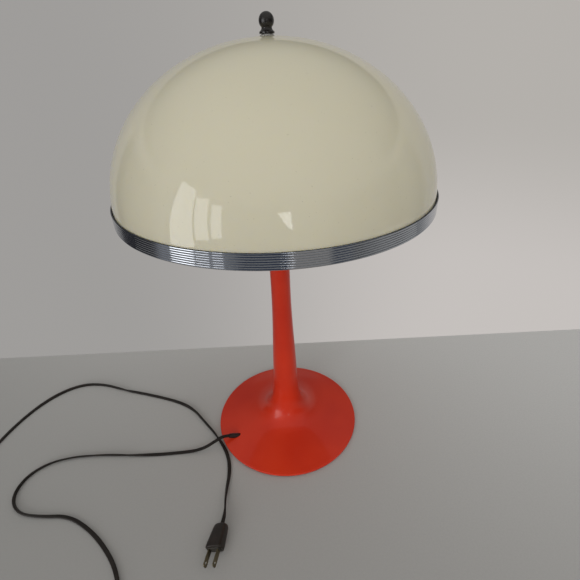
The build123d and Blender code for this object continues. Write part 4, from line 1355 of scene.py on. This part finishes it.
ball_start = -0.62 * math.acos(finial_neck / ball_radius)
ball_line = [
    (ball_radius * math.cos(a), ball_middle + ball_radius * math.sin(a))
    for a in np.linspace(ball_start, math.pi / 2, 26)
]
finial_side = flowing(
    [
        (foot_radius - 0.3 * mm, washer_top + 1.8 * mm),
        (5.9 * mm, washer_top + 2.8 * mm),
        (finial_neck + 0.05 * mm, washer_top + 4.9 * mm),
        ball_line[0],
    ],
    (-0.8, 0.6),
    (-math.sin(ball_start), math.cos(ball_start)),
    count=7,
)
finial_outline = (
    [(0, bore_top), (stud_bore, bore_top), (stud_bore, washer_top)]
    + eased(
        [
            (stud_bore, washer_top),
            (foot_radius, washer_top, 0.35 * mm),
            (foot_radius, foot_edge, 0.35 * mm),
            finial_side[0],
        ],
        closed=False,
    )[1:-1]
    + finial_side
    + ball_line[1:-1]
    + [(0, finial_top)]
)
bronze = moulded("dark_bronze", (0.013, 0.011, 0.010, 1.0), (0.026, 0.022, 0.018, 1.0), 0.22, grain=500.0)
fit(turned("finial_knob", finial_outline, 72), "finial", "dark_bronze", bronze, "finial")

# ---------------------------------------------------------------- table, room, lights and camera
# A pale table stands against a pale wall that darkens towards the ceiling. The table carries painted light
# and shade, darker to the front left and lighter to the back right, and the wall seen behind carries painted
# light, darker to the left and lighter low on the right. Soft light comes from above and from the front left,
# where three window panes stand.
# The camera looks down from close above the front of the lamp.
lens = 24.014
sensor = 36.0
camera_place = Vector((4.7, -442.9, 513.8)) * mm
camera_turn, camera_dip, camera_roll = 0.01705, 0.54714, -0.0396
table_left, table_right, table_front, table_back = -0.9, 1.6, -0.7, 0.186
table_top = -0.15 * mm
table_painted_shade = (0.435, 0.426, 0.41, 1.0)
table_painted_lit = (0.86, 0.845, 0.825, 1.0)
table_fleck = (0.31, 0.305, 0.295, 1.0)

table_finish = Finish("table")
table_grain = table_finish.noise(420.0, 5.0, 0.8)
table_x, table_y, _ = table_finish.axes_of(table_finish.place)
# Painted light and shade: the table's colour runs from dim at the front left to pale at the back right.
table_painted_light_share = table_finish.between(table_x * 0.45 + table_y, -0.42, 0.46)
table_painted_light_tone = table_finish.mix(table_painted_light_share, table_painted_shade, table_painted_lit)
table_paint = table_finish.surface(
    Base_Color=table_finish.mix(table_grain * 0.45, table_painted_light_tone, table_fleck),
    Roughness=0.62,
    Normal=table_finish.bump(table_grain, 0.3 * mm, 0.15),
)


def board(name, corners, finish):
    """A flat staged face."""
    mesh = bpy.data.meshes.new(name)
    mesh.from_pydata(corners, [], [tuple(range(len(corners)))])
    mesh.materials.append(finish)
    face = added(name, mesh)
    return face


def panel(name, place, target, width, height, radiance):
    """A soft rectangular light of even brightness that faces a point and shows in no reflection."""
    light = bpy.data.lights.new(name, "AREA")
    light.shape = "RECTANGLE"
    light.size = width
    light.size_y = height
    light.energy = radiance * math.pi * width * height
    soft = added(name, light)
    soft.location = place
    soft.rotation_euler = (Vector(target) - Vector(place)).to_track_quat("-Z", "Y").to_euler()
    soft.visible_camera = False
    soft.visible_glossy = False


def pane(name, corners, radiance):
    """A bright window pane that is seen in reflections only."""
    sky = Finish(name)
    glow = sky.node("ShaderNodeEmission", None, {"Color": (1.0, 1.0, 1.0, 1.0), "Strength": radiance})
    sky.node("ShaderNodeOutputMaterial", None, {"Surface": glow})
    face = board(name, corners, sky.material)
    face.visible_camera = False
    face.visible_diffuse = False
    face.visible_shadow = False


table_corners = [
    (table_left, table_front, table_top),
    (table_right, table_front, table_top),
    (table_right, table_back, table_top),
    (table_left, table_back, table_top),
]
board("table", table_corners, table_paint)
panel("ceiling", (0.5, -0.3, 2.2), (0.1, -0.1, 0.0), 2.6, 2.2, 0.18)
panel("front_left", (-0.9, -2.4, 0.75), (0, 0, 0.3), 1.6, 1.2, 3.7)
panel("right_fill", (2.0, -0.9, 1.1), (0, 0, 0.4), 1.2, 1.2, 0.8)
window_light, small_window_light = 3.1, 4.6
panes = {  # the corners of the front left window's three panes
    "pane_left": [(-2.34, -0.84, -0.46), (-2.01, -1.55, -0.35), (-1.92, -1.53, 1.39), (-2.13, -1.08, 1.50)],
    "pane_middle": [(-2.0, -1.65, -0.11), (-1.74, -1.95, -0.06), (-1.69, -1.86, 1.24), (-1.94, -1.6, 1.22)],
    "pane_right": [(-1.68, -2.02, -0.02), (-1.45, -2.21, 0.05), (-1.4, -2.14, 1.1), (-1.64, -1.97, 1.08)],
}
for name, corners in panes.items():
    pane(name, corners, window_light)
small_pane = [(0.32, -2.65, 0.40), (0.45, -2.63, 0.32), (0.42, -2.58, 0.94), (0.04, -2.61, 0.94)]
pane("pane_small", small_pane, small_window_light)

world = bpy.data.worlds.new("room")
bpy.context.scene.world = world
world.use_nodes = True
room = Plan(world.node_tree)
world.node_tree.nodes.clear()
x, y, z = room.axes_of(room.node("ShaderNodeTexCoord", output="Generated"))
bearing = x / (x * x + y * y) ** 0.5
# Painted light on the wall: darker to the left, lighter to the right and lighter still low on the right.
wall_right_painted_light = room.mix(room.between(z, -0.45, -0.1), (0.56, 0.53, 0.51, 1.0), (0.455, 0.435, 0.41, 1.0))
wall_painted_light_tone = room.mix(room.between(bearing, -0.5, 0.5), (0.345, 0.335, 0.325, 1.0), wall_right_painted_light)
ceiling_tone = room.mix(room.between(z, 0.40, 0.80), (0.10, 0.10, 0.10, 1.0), (0.42, 0.42, 0.41, 1.0))
back_tone = room.mix(room.between(z, 0.385, 0.42), wall_painted_light_tone, ceiling_tone)
front_tone = room.mix(room.between(z, -0.3, 0.9), (0.24, 0.24, 0.24, 1.0), (0.50, 0.50, 0.49, 1.0))
high_tone = room.mix(room.between(y, -0.15, 0.05), front_tone, back_tone)
dark, blue = (0.03, 0.03, 0.035, 1.0), (0.035, 0.045, 0.07, 1.0)
grey, dull, warm = (0.26, 0.27, 0.30, 1.0), (0.24, 0.24, 0.24, 1.0), (0.30, 0.28, 0.26, 1.0)
furniture = [  # what stands round the room below eye height: bearing from the front in degrees, and tone
    (-131, grey), (-127, dark), (-86, dark), (-82, grey), (-38, grey), (-33, (0.18, 0.19, 0.21, 1.0)),
    (-23, blue), (6, blue), (9, warm), (33, warm), (37, blue), (48, blue), (52, dark), (86, dark), (94, dull),
    (112, dull), (120, (0.45, 0.44, 0.43, 1.0)),
]
stops = [(turn / 360 + 0.5, tone) for turn, tone in furniture]
around = room.math("ARCTAN2", x, 0.0 - y) / math.tau + 0.5
low_tone = room.node("ShaderNodeValToRGB", {"stops": stops}, {"Fac": around})
behind = room.between(abs(around - 0.5), 0.345, 0.37)
low_tone = room.mix(behind, low_tone, wall_painted_light_tone)
over_furniture = room.between(z, 0.24, 0.36)
room_tone = room.mix(over_furniture, low_tone, high_tone)
glow = room.node("ShaderNodeBackground", None, {"Color": room_tone, "Strength": 1.0})
backdrop = room.node("ShaderNodeBackground", None, {"Color": wall_painted_light_tone, "Strength": 1.0})
seen = room.node("ShaderNodeLightPath", output="Is Camera Ray")
surroundings = room.node("ShaderNodeMixShader", None, {0: seen, 1: glow, 2: backdrop})
room.node("ShaderNodeOutputWorld", None, {"Surface": surroundings})

camera_data = bpy.data.cameras.new("camera")
camera_data.lens = lens
camera_data.sensor_width = sensor
camera_data.clip_start = 0.01
camera = added("camera", camera_data)
forward = heading(bearing=math.pi / 2 - camera_turn, rise=-camera_dip)
level = Vector((math.cos(camera_turn), -math.sin(camera_turn), 0.0))
lifted = level.cross(forward)
right = math.cos(camera_roll) * level + math.sin(camera_roll) * lifted
above = -math.sin(camera_roll) * level + math.cos(camera_roll) * lifted
camera.matrix_world = placed(camera_place, right, above, -forward)
bpy.context.scene.camera = camera
bpy.context.scene.view_settings.view_transform = "Standard"
